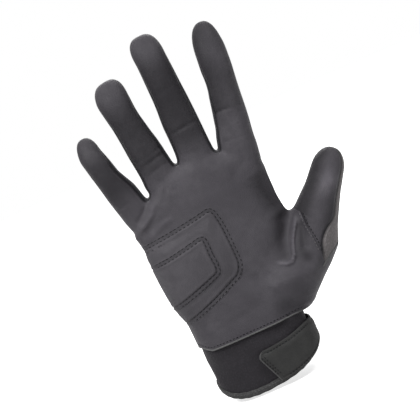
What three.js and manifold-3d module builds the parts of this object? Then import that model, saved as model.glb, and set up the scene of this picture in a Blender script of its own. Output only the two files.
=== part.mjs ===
// A right-hand riding glove, modelled filled as if it were worn.
// Millimetres. +Z runs from the wrist to the fingertips, -Y is the palm side, +X is the thumb side.
// The origin lies in the middle of the wrist opening, level with the lowest point of its hem.

import * as THREE from 'three';
import { mergeVertices } from 'three/addons/utils/BufferGeometryUtils.js';
import Module from 'manifold-3d';

const wasm = await Module();
wasm.setup();

// Thickness of the materials and the gap at every seam
const LEATHER = 1.2;
const CUFF_WALL = 1.5;
const SEAM_GAP = 0.3;

// How far cutting shapes run past what they cut, and their reach where nothing stops them
const TRIM = 1;
const OVERRUN = 300;

// Wrist and cuff
const SEAM_HEIGHT = 37;
const CUFF_TUCK = 8;
const HEM_HALF_WIDTH = 35.4;
const WRIST_HALF_WIDTH = 36;
const WRIST_HALF_DEPTH = 22;
const HEM_LOW = 2.4;
const HEM_DIP = 13.5;
const HEM_TILT = 5;
const SLIT_WIDTH = 2;
const BINDING_WALL = 0.8;
const BINDING_HEIGHT = 3.2;
const PALM_EDGE_HEIGHT = 1.5;

// Palm, measured at the knuckles
const KNUCKLE_HEIGHT = 153.3;
const KNUCKLE_X = 9.3;
const KNUCKLE_ARCH_RADIUS = 55.7;
const PALM_LITTLE_SIDE = 45.8;
const PALM_THUMB_SIDE = 48.5;
const KNUCKLE_HALF_DEPTH = 11.4;
const THUMB_WEB = 5;

// Shares of the palm's height: the web's middle and half height, and where the thumb side is full width
const WEB_MIDDLE_SHARE = 0.46;
const WEB_REACH_SHARE = 0.25;
const FULL_WIDTH_SHARE = 0.7;
const LITTLE_SIDE_POWER = 1.6;

// Side strips between the fingers
const STRIP_HALF_HEIGHT = 4.4;
const STRIP_POINT = 0.8;
const STRIP_LENGTH_SHARE = 0.9;
const STRIP_MIDDLE_SHARE = 0.9;
const WEB_DEPTH = 14;

// Fingers. Each has its x at the knuckle arch and its lean in degrees. Its reach runs from the arch to
// the tip and its root lies in the palm. Its stub stays with the hand, and it bends again at its bend.
const INDEX = {
  name: 'index',
  x: 39.8,
  lean: 6.1,
  reach: 84.2,
  root: 28.6,
  width: 19.6,
  depth: 19.4,
  stub: 12,
  bend: 44,
};
const MIDDLE = {
  name: 'middle',
  x: 11.7,
  lean: -0.9,
  reach: 83.6,
  root: 28.4,
  width: 21,
  depth: 20,
  stub: 10,
  bend: 43,
};
const RING = {
  name: 'ring',
  x: -13.8,
  lean: -7.8,
  reach: 71.4,
  root: 24.3,
  width: 19.8,
  depth: 19,
  stub: 12,
  bend: 38,
};
const LITTLE = {
  name: 'little',
  x: -37.1,
  lean: -14,
  reach: 59.2,
  root: 20.1,
  width: 16.2,
  depth: 16.6,
  stub: 14,
  bend: 35,
};
const FINGERS = [INDEX, MIDDLE, RING, LITTLE];

// A finger bows to the palm side by this share of its reach, most past its middle; its tip comes back
const FINGER_BOW_SHARE = 0.06;
const FINGER_BOW_POWER = 1.8;

// The sides that carry a strip, and how far those sides flare at the forks
const STRIP_SIDES = { index: [-1], middle: [-1, 1], ring: [-1, 1], little: [1] };
const OUTER_FLARE = 3;
const INNER_FLARE = 0.6;

// Share of a finger's reach, or of its root below the arch, then shares of its left, right, front and
// back half sizes, and of its twist
const FINGER_STATION_SHARES = [
  [-1, 0.8, 0.8, 0.86, 0.86, 1],
  [-0.295, 1.1, 1.1, 1.04, 1.04, 1],
  [0.04, 1.15, 1.15, 1.06, 1.08, 1],
  [0.2, 1.09, 1.09, 1.04, 1.08, 1],
  [0.42, 1.01, 1.01, 1, 1.02, 1],
  [0.66, 0.97, 0.97, 0.96, 0.92, 1],
  [0.84, 0.93, 0.93, 0.9, 0.78, 1],
  [0.92, 0.82, 0.82, 0.78, 0.62, 1],
  [0.97, 0.58, 0.58, 0.55, 0.42, 1],
  [1, 0.2, 0.2, 0.2, 0.14, 1],
];

// Thumb: a point of its axis level with its fork, its lean, its pitch towards the palm and its twist
const THUMB = {
  name: 'thumb',
  x: 64.5,
  y: -3,
  z: 86.9,
  lean: 36.5,
  pitch: 8,
  twist: 35,
  reach: 46.6,
  root: 56,
  width: 29,
  depth: 26,
  stub: 3,
  bend: 20,
};

// Share of the thumb's reach, or of its root, then shares of its left, right, front and back
// half sizes, and of its twist
const THUMB_STATION_SHARES = [
  [-1, 2.1, 0.6, 1.4, 0.9, 0],
  [-0.89, 2.6, 0.95, 1.66, 1.2, 0],
  [-0.682, 2.6, 1.03, 1.66, 1.2, 0.05],
  [-0.457, 2.2, 1.18, 1.52, 1.14, 0.3],
  [-0.216, 1.5, 1.18, 1.24, 1.04, 0.7],
  [0, 1.14, 1.03, 1, 0.96, 1],
  [0.12, 0.98, 0.96, 0.96, 0.92, 1],
  [0.45, 0.78, 0.78, 0.84, 0.78, 1],
  [0.7, 0.69, 0.69, 0.76, 0.68, 1],
  [0.84, 0.62, 0.62, 0.66, 0.56, 1],
  [0.94, 0.42, 0.42, 0.46, 0.38, 1],
  [1, 0.14, 0.14, 0.16, 0.12, 1],
];

// Seams that bound the thumb's root: the upright seam under the fork and the rising welt
const THUMB_SEAM_X = 58;
const WELT_X = 55.6;
const WELT_Z = 58.6;
const WELT_ANGLE = 31.5;

// Heel pad: the overlay's box on the palm, its foam and the patch sewn on it, with heights as shares
const HEEL_LEFT = -60;
const HEEL_RIGHT = 9.5;
const HEEL_TOP_SHARE = 0.717;
const HEEL_BOTTOM_SHARE = 0.1376;
const HEEL_RIM = 9;
const FOAM_THICKNESS = 1.6;
const PATCH_LEFT = -36;
const PATCH_RIGHT = -4.3;
const PATCH_TOP_SHARE = 0.5985;
const PATCH_BOTTOM_SHARE = 0.2838;

// Outline shares, x from the left edge to the right and z from the bottom to the top of the box
const HEEL_OUTLINE_SHARES = [
  [0, 0], [0.38, 0.1], [0.72, 0.24], [0.87, 0.3], [0.96, 0.34], [1, 0.44],
  [1, 0.78], [0.985, 0.93], [0.95, 1], [0.86, 0.985], [0.6, 0.945], [0, 0.87],
];

// Strap: its band on the cuff, its slanted end and the patches that hold it
const STRAP_TOP = 26.5;
const STRAP_SIDE_TOP = 33;
const STRAP_SHOULDER_SHARE = 0.66;
const STRAP_END_X = -3.5;
const STRAP_END_SLANT = 10.7;
const STRAP_END_CORNER = 3.6;
const STRAP_CORNER_WIDTH = 1.2;
const STRAP_THICKNESS = 1.2;
const LOOP_THICKNESS = 0.8;
const HOOK_THICKNESS = 0.6;
const GRIP_WIDTH = 24;
const GRIP_LOW = 9;
const GRIP_HIGH = 23;
const GRIP_MARGIN = 2;
const STRAP_LUG = 4;
const ANCHOR_REACH = 24;

// Counts of sides and rows
const HAND_SIDES = 32;
const FINGER_SIDES = 16;
const FINGER_LINING_SIDES = 12;
const HAND_ROUNDNESS_SHARE = 0.8;
const FINGER_ROUNDNESS_SHARE = 0.88;

// Shares of the wrist's half depth and of the hem's dip, from the palm side to the back
const HEM_OUTLINE_SHARES = [[-2, 0], [-1, 0], [-0.8, 0.22], [-0.45, 0.62], [0, 1], [2, 1]];

// Share of the palm's height, then share of the depth left under the rounded top
const PALM_ROW_SHARES = [
  [0, 1], [0.13, 1], [0.28, 1], [0.44, 1], [0.6, 1],
  [0.76, 1], [0.88, 1], [0.945, 0.94], [0.98, 0.74], [1, 0.4],
];

const LEATHER_COLOUR = 0x3e3d40;
const FABRIC_COLOUR = 0x6f6a66;
const CUFF_COLOUR = 0x2e2c30;
const STRAP_COLOUR = 0x3a3a39;

const radians = (degrees) => THREE.MathUtils.degToRad(degrees);
const mix = (from, to, share) => from + (to - from) * share;

// Solids

function solidFrom(geometry) {
  const bare = geometry.clone();
  bare.deleteAttribute('normal');
  bare.deleteAttribute('uv');
  const merged = mergeVertices(bare);
  const vertProperties = new Float32Array(merged.attributes.position.array);
  const triVerts = new Uint32Array(merged.index.array);
  return new wasm.Manifold(new wasm.Mesh({ numProp: 3, vertProperties, triVerts }));
}

function geometryFrom(solid) {
  const mesh = solid.getMesh();
  const geometry = new THREE.BufferGeometry();
  geometry.setAttribute('position', new THREE.BufferAttribute(mesh.vertProperties, 3));
  geometry.setIndex(new THREE.BufferAttribute(mesh.triVerts, 1));
  geometry.computeVertexNormals();
  return geometry;
}

function joined(solids) {
  return solids.reduce((whole, solid) => whole.add(solid));
}

// A closed tube through rings of equal counts, each ring counterclockwise about the way the tube runs
function loft(rings) {
  const sides = rings[0].length;
  const points = rings.flat();
  const triangles = [];
  for (let row = 0; row + 1 < rings.length; row += 1) {
    for (let side = 0; side < sides; side += 1) {
      const next = (side + 1) % sides;
      const low = row * sides;
      const high = low + sides;
      triangles.push(low + side, low + next, high + next);
      triangles.push(low + side, high + next, high + side);
    }
  }
  const last = (rings.length - 1) * sides;
  const sumOf = (points) => points.reduce((sum, point) => sum.add(point), new THREE.Vector3());
  const middleOf = (points) => sumOf(points).divideScalar(sides);
  points.push(middleOf(rings[0]), middleOf(rings[rings.length - 1]));
  for (let side = 0; side < sides; side += 1) {
    const next = (side + 1) % sides;
    triangles.push(points.length - 2, next, side);
    triangles.push(points.length - 1, last + side, last + next);
  }
  const geometry = new THREE.BufferGeometry().setFromPoints(points);
  geometry.setIndex(triangles);
  return solidFrom(geometry);
}

// A box given by its corners in a frame's own x, y and z
function block(low, high, frame = new THREE.Matrix4()) {
  const size = new THREE.Vector3().subVectors(high, low);
  const geometry = new THREE.BoxGeometry(size.x, size.y, size.z);
  geometry.translate((low.x + high.x) / 2, (low.y + high.y) / 2, (low.z + high.z) / 2);
  geometry.applyMatrix4(frame);
  return solidFrom(geometry);
}

function prism(outline, depth, frame) {
  const shape = new THREE.Shape(outline);
  const geometry = new THREE.ExtrudeGeometry(shape, { depth, bevelEnabled: false });
  geometry.applyMatrix4(frame);
  return solidFrom(geometry);
}

// The side of a frame's plane y = level that lies towards +y or -y
function sideOf(frame, direction, level) {
  const far = level + direction * OVERRUN;
  const low = new THREE.Vector3(-OVERRUN, Math.min(level, far), -OVERRUN);
  const high = new THREE.Vector3(OVERRUN, Math.max(level, far), OVERRUN);
  return block(low, high, frame);
}

// Sections

// One ring of a rounded section with four half sizes
function ring(frame, sizes, sides, roundness) {
  const points = [];
  for (let side = 0; side < sides; side += 1) {
    const angle = (side / sides) * 2 * Math.PI;
    const c = Math.cos(angle);
    const s = Math.sin(angle);
    const x = Math.sign(c) * Math.abs(c) ** roundness * (c > 0 ? sizes.right : sizes.left);
    const y = Math.sign(s) * Math.abs(s) ** roundness * (s > 0 ? sizes.back : sizes.front);
    points.push(new THREE.Vector3(x, y, 0).applyMatrix4(frame));
  }
  return points;
}

// Hand and cuff

const riseAt = (z) => THREE.MathUtils.clamp((z - SEAM_HEIGHT) / (KNUCKLE_HEIGHT - SEAM_HEIGHT), 0, 1);

function handSizes(z, offset, depthShare = 1) {
  const rise = riseAt(z);
  const wrist = mix(HEM_HALF_WIDTH, WRIST_HALF_WIDTH, THREE.MathUtils.clamp(z / SEAM_HEIGHT, 0, 1));
  const depth = mix(WRIST_HALF_DEPTH, KNUCKLE_HALF_DEPTH, rise) * depthShare + offset;
  const fromWeb = Math.abs(rise - WEB_MIDDLE_SHARE);
  const web = THUMB_WEB * (1 - THREE.MathUtils.smoothstep(fromWeb, 0, WEB_REACH_SHARE));
  const widening = THREE.MathUtils.smoothstep(rise, 0, FULL_WIDTH_SHARE);
  const spread = (PALM_THUMB_SIDE - WRIST_HALF_WIDTH) * widening;
  return {
    left: wrist + (PALM_LITTLE_SIDE - WRIST_HALF_WIDTH) * rise ** LITTLE_SIDE_POWER + offset,
    right: wrist + spread + web + offset,
    front: depth,
    back: depth,
  };
}

// The knuckle arch drops away from its highest point on both sides
const archDrop = (x) => (x - KNUCKLE_X) ** 2 / (2 * KNUCKLE_ARCH_RADIUS);

function handRing(z, offset, depthShare) {
  const frame = new THREE.Matrix4().makeTranslation(0, 0, z);
  const points = ring(frame, handSizes(z, offset, depthShare), HAND_SIDES, HAND_ROUNDNESS_SHARE);
  const bend = riseAt(z) ** 2;
  for (const point of points) point.z -= bend * archDrop(point.x);
  return points;
}

function palmSolid(offset, low = 0) {
  const rings = PALM_ROW_SHARES.map(([share, depthShare]) => {
    const z = mix(SEAM_HEIGHT, KNUCKLE_HEIGHT + offset, share);
    return handRing(z, offset, depthShare);
  });
  if (low > 0) rings.unshift(handRing(SEAM_HEIGHT - low, offset, 1));
  return loft(rings);
}

function wristSolid(offset, low, high) {
  const heights = [low, 0, SEAM_HEIGHT, high].filter((z) => z >= low && z <= high);
  return loft(heights.map((z) => handRing(z, offset, 1)));
}

// The hem dips in front and runs level behind; this is everything above it, raised by a lift
function aboveHem(lift) {
  const low = HEM_LOW + lift;
  const outline = HEM_OUTLINE_SHARES.map(([y, z]) => (
    new THREE.Vector2(WRIST_HALF_DEPTH * y, low + HEM_DIP * z)
  ));
  outline.push(new THREE.Vector2(2 * WRIST_HALF_DEPTH, OVERRUN));
  outline.push(new THREE.Vector2(-2 * WRIST_HALF_DEPTH, OVERRUN));
  const frame = new THREE.Matrix4().makeBasis(
    new THREE.Vector3(0, 1, 0),
    new THREE.Vector3(0, 0, 1),
    new THREE.Vector3(1, 0, 0),
  );
  frame.setPosition(-OVERRUN / 2, 0, 0);
  frame.premultiply(new THREE.Matrix4().makeRotationY(-radians(HEM_TILT)));
  return prism(outline, OVERRUN, frame);
}

// Fingers and thumb

function fingerFrame(finger) {
  const frame = new THREE.Matrix4().makeRotationY(radians(finger.lean));
  return frame.setPosition(finger.x, 0, KNUCKLE_HEIGHT - archDrop(finger.x));
}

function thumbFrame() {
  const turn = new THREE.Matrix4().makeRotationY(radians(THUMB.lean));
  turn.multiply(new THREE.Matrix4().makeRotationX(radians(THUMB.pitch)));
  turn.multiply(new THREE.Matrix4().makeRotationZ(-radians(THUMB.twist)));
  return turn.setPosition(THUMB.x, THUMB.y, THUMB.z);
}

// How far along a digit each of its stations lies
function placesOf(digit) {
  return digit.shares.map(([share]) => share * (share < 0 ? digit.root : digit.reach));
}

// How far a digit's middle line stands out to the palm side at a distance along it
function bowAt(digit, along) {
  const share = THREE.MathUtils.clamp(along / digit.reach, 0, 1);
  return digit.reach * digit.bow * Math.sin(Math.PI * share ** FINGER_BOW_POWER) ** 2;
}

// Half sizes of a digit at a distance along it, read between its stations
function digitSizes(digit, along, offset) {
  const places = placesOf(digit);
  let row = 0;
  while (row + 2 < places.length && places[row + 1] < along) row += 1;
  const [from, to] = [digit.shares[row], digit.shares[row + 1]];
  const between = (along - places[row]) / (places[row + 1] - places[row]);
  const read = (column) => mix(from[column], to[column], between);
  const half = (column, size) => Math.max((read(column) * size) / 2 + offset, LEATHER / 2);
  const fade = THREE.MathUtils.clamp(1 - Math.abs(along) / digit.bend, 0, 1) ** 2;
  return {
    left: half(1, digit.width) + digit.flare[0] * fade,
    right: half(2, digit.width) + digit.flare[1] * fade,
    front: half(3, digit.depth),
    back: half(4, digit.depth),
    untwist: 1 - read(5),
  };
}

// A digit's solid between two distances along it, grown or shrunk by an offset
function digitSolid(digit, low, high, offset) {
  const tip = digit.reach + offset;
  const between = placesOf(digit).filter((along) => along > low + TRIM && along < high - TRIM);
  const places = [low, ...between, Math.min(high, tip)];
  const sides = offset < 0 ? FINGER_LINING_SIDES : FINGER_SIDES;
  const rings = places.map((along) => {
    const sizes = digitSizes(digit, Math.min(along, digit.reach), offset);
    const middle = new THREE.Matrix4().makeTranslation(0, -bowAt(digit, along), along);
    const frame = digit.frame.clone().multiply(middle);
    frame.multiply(new THREE.Matrix4().makeRotationZ(radians(digit.twist * sizes.untwist)));
    return ring(frame, sizes, sides, FINGER_ROUNDNESS_SHARE);
  });
  return loft(rings);
}

function digitShell(digit, low, high) {
  const outer = digitSolid(digit, low, high, 0);
  const inner = digitSolid(digit, low - TRIM, high + TRIM, -LEATHER);
  return outer.subtract(inner);
}

// The index and little fingers flare towards the hand's middle; the two between them flare little
function flareOf(sides, side) {
  if (!sides.includes(side)) return 0;
  return sides.length > 1 ? INNER_FLARE : OUTER_FLARE;
}

const digits = FINGERS.map((finger) => ({
  ...finger,
  twist: 0,
  strips: STRIP_SIDES[finger.name],
  flare: [-1, 1].map((side) => flareOf(STRIP_SIDES[finger.name], side)),
  bow: FINGER_BOW_SHARE,
  frame: fingerFrame(finger),
  shares: FINGER_STATION_SHARES,
}));
const thumb = {
  ...THUMB,
  strips: [],
  flare: [0, 0],
  bow: 0,
  frame: thumbFrame(),
  shares: THUMB_STATION_SHARES,
};

// A solid as wide as asked through an outline drawn along a digit and across its depth
function acrossDigit(digit, outline, from, width) {
  const frame = digit.frame.clone().multiply(new THREE.Matrix4().makeBasis(
    new THREE.Vector3(0, 0, 1),
    new THREE.Vector3(0, 1, 0),
    new THREE.Vector3(-1, 0, 0),
  ));
  frame.multiply(new THREE.Matrix4().makeTranslation(0, 0, from));
  return prism(outline, width, frame);
}

// The places at which the cuts along a digit follow its bow, between two ends
function bowPlaces(digit, low, high) {
  const bowed = [...placesOf(digit), digit.bend].filter((along) => along > digit.stub);
  const inside = bowed.filter((along) => along < Math.min(high, digit.reach) - TRIM);
  return [low, ...inside.sort((a, b) => a - b), high];
}

// The side of a digit's middle surface that lies towards its back or its front
function sideOfDigit(digit, direction) {
  const level = (direction * SEAM_GAP) / 2;
  const outline = bowPlaces(digit, -OVERRUN, OVERRUN).map((along) => (
    new THREE.Vector2(along, level - bowAt(digit, along))
  ));
  outline.push(new THREE.Vector2(OVERRUN, direction * OVERRUN));
  outline.push(new THREE.Vector2(-OVERRUN, direction * OVERRUN));
  return acrossDigit(digit, outline, -OVERRUN, 2 * OVERRUN);
}

// The band of a side strip, which follows the bow and narrows to a point near the fingertip
function stripBand(digit, side, growth) {
  const low = -WEB_DEPTH - growth;
  const high = digit.reach * STRIP_LENGTH_SHARE + growth;
  const middle = STRIP_HALF_HEIGHT * STRIP_MIDDLE_SHARE;
  const halfAt = (along) => {
    if (along < digit.bend) return mix(STRIP_HALF_HEIGHT, middle, (along - low) / (digit.bend - low));
    return mix(middle, STRIP_POINT, (along - digit.bend) / (high - digit.bend));
  };
  const edge = (sign) => bowPlaces(digit, low, high).map((along) => (
    new THREE.Vector2(along, sign * (halfAt(along) + growth) - bowAt(digit, along))
  ));
  const outline = [...edge(-1), ...edge(1).reverse()];
  return acrossDigit(digit, outline, side > 0 ? -digit.width : 0, digit.width);
}

function stripsOf(digit, growth) {
  return digit.strips.map((side) => stripBand(digit, side, growth));
}

// Splits one segment of a digit into its front, its back and its side strips
function digitPanels(digit, part, low, high) {
  const shell = digitShell(digit, low, high);
  let front = shell.intersect(sideOfDigit(digit, -1));
  let back = shell.intersect(sideOfDigit(digit, 1));
  const panels = [];
  for (const side of digit.strips) {
    const name = side > 0 ? 'thumb_side' : 'outer_side';
    front = front.subtract(stripBand(digit, side, SEAM_GAP));
    back = back.subtract(stripBand(digit, side, SEAM_GAP));
    const strip = shell.intersect(stripBand(digit, side, 0));
    panels.push([`${digit.name}_${part}_strip_${name}`, strip, 'strip']);
  }
  panels.push([`${digit.name}_${part}_front`, front, 'leather']);
  panels.push([`${digit.name}_${part}_back`, back, 'fabric']);
  return panels;
}

// Materials

function material(kind) {
  const looks = {
    leather: { color: LEATHER_COLOUR, roughness: 0.55 },
    strip: { color: LEATHER_COLOUR, roughness: 0.7 },
    fabric: { color: FABRIC_COLOUR, roughness: 0.9 },
    cuff: { color: CUFF_COLOUR, roughness: 0.85 },
    strap: { color: STRAP_COLOUR, roughness: 0.65 },
    foam: { color: STRAP_COLOUR, roughness: 1 },
  };
  return new THREE.MeshStandardMaterial({ ...looks[kind], metalness: 0 });
}

const group = new THREE.Group();

function addPiece(name, solid, kind) {
  const mesh = new THREE.Mesh(geometryFrom(solid), material(kind));
  mesh.name = name;
  group.add(mesh);
}

// Root of the glove: palm, back, forks and the thumb's root

function handShell() {
  const roots = [...digits, thumb];
  const outer = joined([palmSolid(0), ...roots.map((digit) => digitSolid(
    digit,
    -digit.root,
    digit.stub - SEAM_GAP / 2,
    0,
  ))]);
  const inner = joined([palmSolid(-LEATHER, CUFF_TUCK), ...roots.map((digit) => digitSolid(
    digit,
    LEATHER - digit.root,
    digit.stub + TRIM,
    -LEATHER,
  ))]);
  return outer.subtract(inner);
}

// The corner of the hand that the thumb's own panels cover
function thumbCorner(growth) {
  const welt = new THREE.Matrix4().makeRotationY(-radians(WELT_ANGLE)).setPosition(WELT_X, 0, WELT_Z);
  const above = block(
    new THREE.Vector3(-OVERRUN, -OVERRUN, -growth),
    new THREE.Vector3(OVERRUN, OVERRUN, OVERRUN),
    welt,
  );
  const beside = block(
    new THREE.Vector3(THUMB_SEAM_X - growth, -OVERRUN, 0),
    new THREE.Vector3(OVERRUN, OVERRUN, OVERRUN),
  );
  return above.intersect(beside);
}

function addHand() {
  const plain = new THREE.Matrix4();
  const shell = handShell();
  const corner = thumbCorner(0);
  const cornerGap = thumbCorner(SEAM_GAP);
  const strips = joined(digits.flatMap((digit) => stripsOf(digit, 0)));
  const stripGaps = joined(digits.flatMap((digit) => stripsOf(digit, SEAM_GAP)));
  const body = shell.subtract(cornerGap).subtract(stripGaps);
  const front = body.intersect(sideOf(plain, -1, -SEAM_GAP / 2));
  const edgeTop = SEAM_HEIGHT + PALM_EDGE_HEIGHT;
  const wide = (low, high) => block(
    new THREE.Vector3(-OVERRUN, -OVERRUN, low),
    new THREE.Vector3(OVERRUN, OVERRUN, high),
  );
  addPiece('palm', front.intersect(wide(edgeTop + SEAM_GAP, OVERRUN)), 'leather');
  addPiece('palm_edge', front.intersect(wide(0, edgeTop)), 'leather');
  addPiece('hand_back', body.intersect(sideOf(plain, 1, SEAM_GAP / 2)), 'fabric');
  const thumbRoot = shell.intersect(corner);
  const thumbFront = thumbRoot.intersect(sideOf(thumb.frame, -1, -SEAM_GAP / 2));
  addPiece('thumb_root_front', thumbFront.intersect(sideOf(plain, -1, 0)), 'leather');
  addPiece('thumb_root_back', thumbRoot.intersect(sideOf(thumb.frame, 1, SEAM_GAP / 2)), 'fabric');
  for (let place = 0; place + 1 < digits.length; place += 1) {
    const band = joined([stripBand(digits[place], -1, 0), stripBand(digits[place + 1], 1, 0)]);
    const name = `fork_${digits[place].name}_${digits[place + 1].name}`;
    addPiece(name, shell.intersect(band), 'strip');
  }
}

// Heel pad

const palmHeightAt = (share) => mix(SEAM_HEIGHT, KNUCKLE_HEIGHT, share);
const heelBottom = palmHeightAt(HEEL_BOTTOM_SHARE);
const heelTop = palmHeightAt(HEEL_TOP_SHARE);

function heelOutline(left, right, bottom, top) {
  return HEEL_OUTLINE_SHARES.map(([x, z]) => (
    new THREE.Vector2(mix(left, right, x), mix(bottom, top, z))
  ));
}

// Everything in front of the palm inside an outline drawn in X and Z
function inFront(outline) {
  const frame = new THREE.Matrix4().makeBasis(
    new THREE.Vector3(1, 0, 0),
    new THREE.Vector3(0, 0, 1),
    new THREE.Vector3(0, -1, 0),
  );
  frame.setPosition(0, -SEAM_GAP / 2, 0);
  return prism(outline, OVERRUN, frame);
}

function addHeelPad() {
  const rim = HEEL_RIM;
  const skin = SEAM_GAP + LEATHER;
  const foamTop = SEAM_GAP + FOAM_THICKNESS;
  const coverTop = foamTop + skin;
  const wholeArea = inFront(heelOutline(HEEL_LEFT, HEEL_RIGHT, heelBottom, heelTop));
  const foamArea = (growth) => inFront(heelOutline(
    -PALM_LITTLE_SIDE + rim - growth,
    HEEL_RIGHT - rim + growth,
    heelBottom + rim - growth,
    heelTop - rim + growth,
  ));
  const bed = palmSolid(SEAM_GAP);
  addPiece('heel_foam', palmSolid(foamTop).intersect(foamArea(0)).subtract(bed), 'foam');
  const flat = palmSolid(skin).intersect(wholeArea);
  const raised = palmSolid(coverTop).intersect(foamArea(skin));
  const hollow = palmSolid(foamTop + SEAM_GAP).intersect(foamArea(SEAM_GAP));
  addPiece('heel_cover', joined([flat, raised]).subtract(hollow).subtract(bed), 'leather');
  const patchBed = coverTop + SEAM_GAP;
  const patchArea = inFront(heelOutline(
    PATCH_LEFT,
    PATCH_RIGHT,
    palmHeightAt(PATCH_BOTTOM_SHARE),
    palmHeightAt(PATCH_TOP_SHARE),
  ));
  const patch = palmSolid(patchBed + LEATHER).subtract(palmSolid(patchBed, SEAM_GAP));
  addPiece('heel_patch', patch.intersect(patchArea), 'leather');
}

// Cuff, its slit on the thumb side and the binding folded over its hem

const cuffOutside = -(LEATHER + SEAM_GAP);
const cuffInside = cuffOutside - CUFF_WALL;
const cuffTop = SEAM_HEIGHT + CUFF_TUCK;

// The wall between two offsets of the wrist, from below the hem to a height
function wristWall(inside, outside, high) {
  const outer = wristSolid(outside, -BINDING_HEIGHT, high);
  return outer.subtract(wristSolid(inside, -2 * BINDING_HEIGHT, high + BINDING_HEIGHT));
}

function slit() {
  return block(
    new THREE.Vector3(0, -SLIT_WIDTH / 2, -OVERRUN),
    new THREE.Vector3(OVERRUN, SLIT_WIDTH / 2, SEAM_HEIGHT),
  );
}

function addCuff() {
  const plain = new THREE.Matrix4();
  const wall = wristWall(cuffInside, cuffOutside, cuffTop).intersect(aboveHem(0)).subtract(slit());
  addPiece('cuff_front', wall.intersect(sideOf(plain, -1, -SEAM_GAP / 2)), 'cuff');
  addPiece('cuff_back', wall.intersect(sideOf(plain, 1, SEAM_GAP / 2)), 'cuff');
  const reach = SEAM_GAP + BINDING_WALL;
  const fold = wristWall(cuffInside - reach, cuffOutside + reach, cuffTop).intersect(aboveHem(-reach));
  const channel = wristWall(cuffInside - SEAM_GAP, cuffOutside + SEAM_GAP, cuffTop + reach);
  const hollow = channel.intersect(aboveHem(-SEAM_GAP));
  const binding = fold.subtract(hollow).subtract(aboveHem(BINDING_HEIGHT));
  addPiece('hem_binding', binding.subtract(slit()), 'leather');
}

// Strap, its sewn end behind the thumb side, and the hooks and loops that hold it

const loopBed = cuffOutside + SEAM_GAP;
const hookBed = loopBed + LOOP_THICKNESS + SEAM_GAP;
const strapBed = hookBed + HOOK_THICKNESS + SEAM_GAP;
const strapOutside = strapBed + STRAP_THICKNESS;

function strapOutline() {
  return [
    new THREE.Vector2(STRAP_END_X + STRAP_CORNER_WIDTH, STRAP_TOP),
    new THREE.Vector2(STRAP_END_X, STRAP_TOP - STRAP_END_CORNER),
    new THREE.Vector2(STRAP_END_X + STRAP_END_SLANT, -BINDING_HEIGHT),
    new THREE.Vector2(OVERRUN, -BINDING_HEIGHT),
    new THREE.Vector2(OVERRUN, STRAP_SIDE_TOP),
    new THREE.Vector2(WRIST_HALF_WIDTH, STRAP_SIDE_TOP),
    new THREE.Vector2(WRIST_HALF_WIDTH * STRAP_SHOULDER_SHARE, STRAP_TOP),
  ];
}

function gripOutline(margin) {
  const left = STRAP_END_X + STRAP_END_SLANT / 2 + margin;
  return [
    new THREE.Vector2(left, GRIP_HIGH - margin),
    new THREE.Vector2(left + margin, GRIP_LOW + margin),
    new THREE.Vector2(left + GRIP_WIDTH - 2 * margin, GRIP_LOW + margin),
    new THREE.Vector2(left + GRIP_WIDTH - 2 * margin, GRIP_HIGH - margin),
  ];
}

function addStrap() {
  const aboveBinding = aboveHem(BINDING_HEIGHT + SEAM_GAP);
  const inBand = block(
    new THREE.Vector3(WRIST_HALF_WIDTH - ANCHOR_REACH, -STRAP_LUG, -BINDING_HEIGHT),
    new THREE.Vector3(OVERRUN, OVERRUN, STRAP_SIDE_TOP),
  );
  const besideHinge = block(
    new THREE.Vector3(0, -STRAP_LUG, -BINDING_HEIGHT),
    new THREE.Vector3(OVERRUN, STRAP_LUG, STRAP_SIDE_TOP),
  );
  const lugWall = wristWall(loopBed, strapOutside, STRAP_SIDE_TOP);
  const lug = lugWall.intersect(besideHinge).intersect(aboveBinding);
  const band = wristWall(strapBed, strapOutside, STRAP_SIDE_TOP).intersect(aboveHem(0));
  const front = joined([band, lug]).intersect(inFront(strapOutline()));
  addPiece('strap', front, 'strap');
  const sewn = wristWall(loopBed, loopBed + STRAP_THICKNESS, STRAP_SIDE_TOP).intersect(aboveBinding);
  const behind = sideOf(new THREE.Matrix4(), 1, SEAM_GAP / 2);
  addPiece('strap_sewn_end', joined([sewn.intersect(inBand), lug]).intersect(behind), 'strap');
  const hooks = wristWall(hookBed, hookBed + HOOK_THICKNESS, STRAP_TOP).intersect(aboveBinding);
  addPiece('hook_patch', hooks.intersect(inFront(gripOutline(GRIP_MARGIN))), 'strap');
  const loops = wristWall(loopBed, loopBed + LOOP_THICKNESS, STRAP_TOP).intersect(aboveBinding);
  addPiece('loop_patch', loops.intersect(inFront(gripOutline(0))), 'strap');
}

addHand();
addHeelPad();
addCuff();
addStrap();
for (const digit of [...digits, thumb]) {
  const lower = digitPanels(digit, 'lower', digit.stub + SEAM_GAP / 2, digit.bend - SEAM_GAP / 2);
  const upper = digitPanels(digit, 'upper', digit.bend + SEAM_GAP / 2, digit.reach);
  for (const [name, solid, kind] of [...lower, ...upper]) addPiece(name, solid, kind);
}

export default group;
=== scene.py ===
"""A right-hand riding glove, filled as if worn and standing on its wrist opening.

Shapes are worked out in millimetres, with +Z from wrist to fingertips, -Y on the palm side and +X on the
thumb side, and are written to their meshes in metres.
"""

import math

import bpy
import numpy as np
from mathutils import Matrix, Vector


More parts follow.
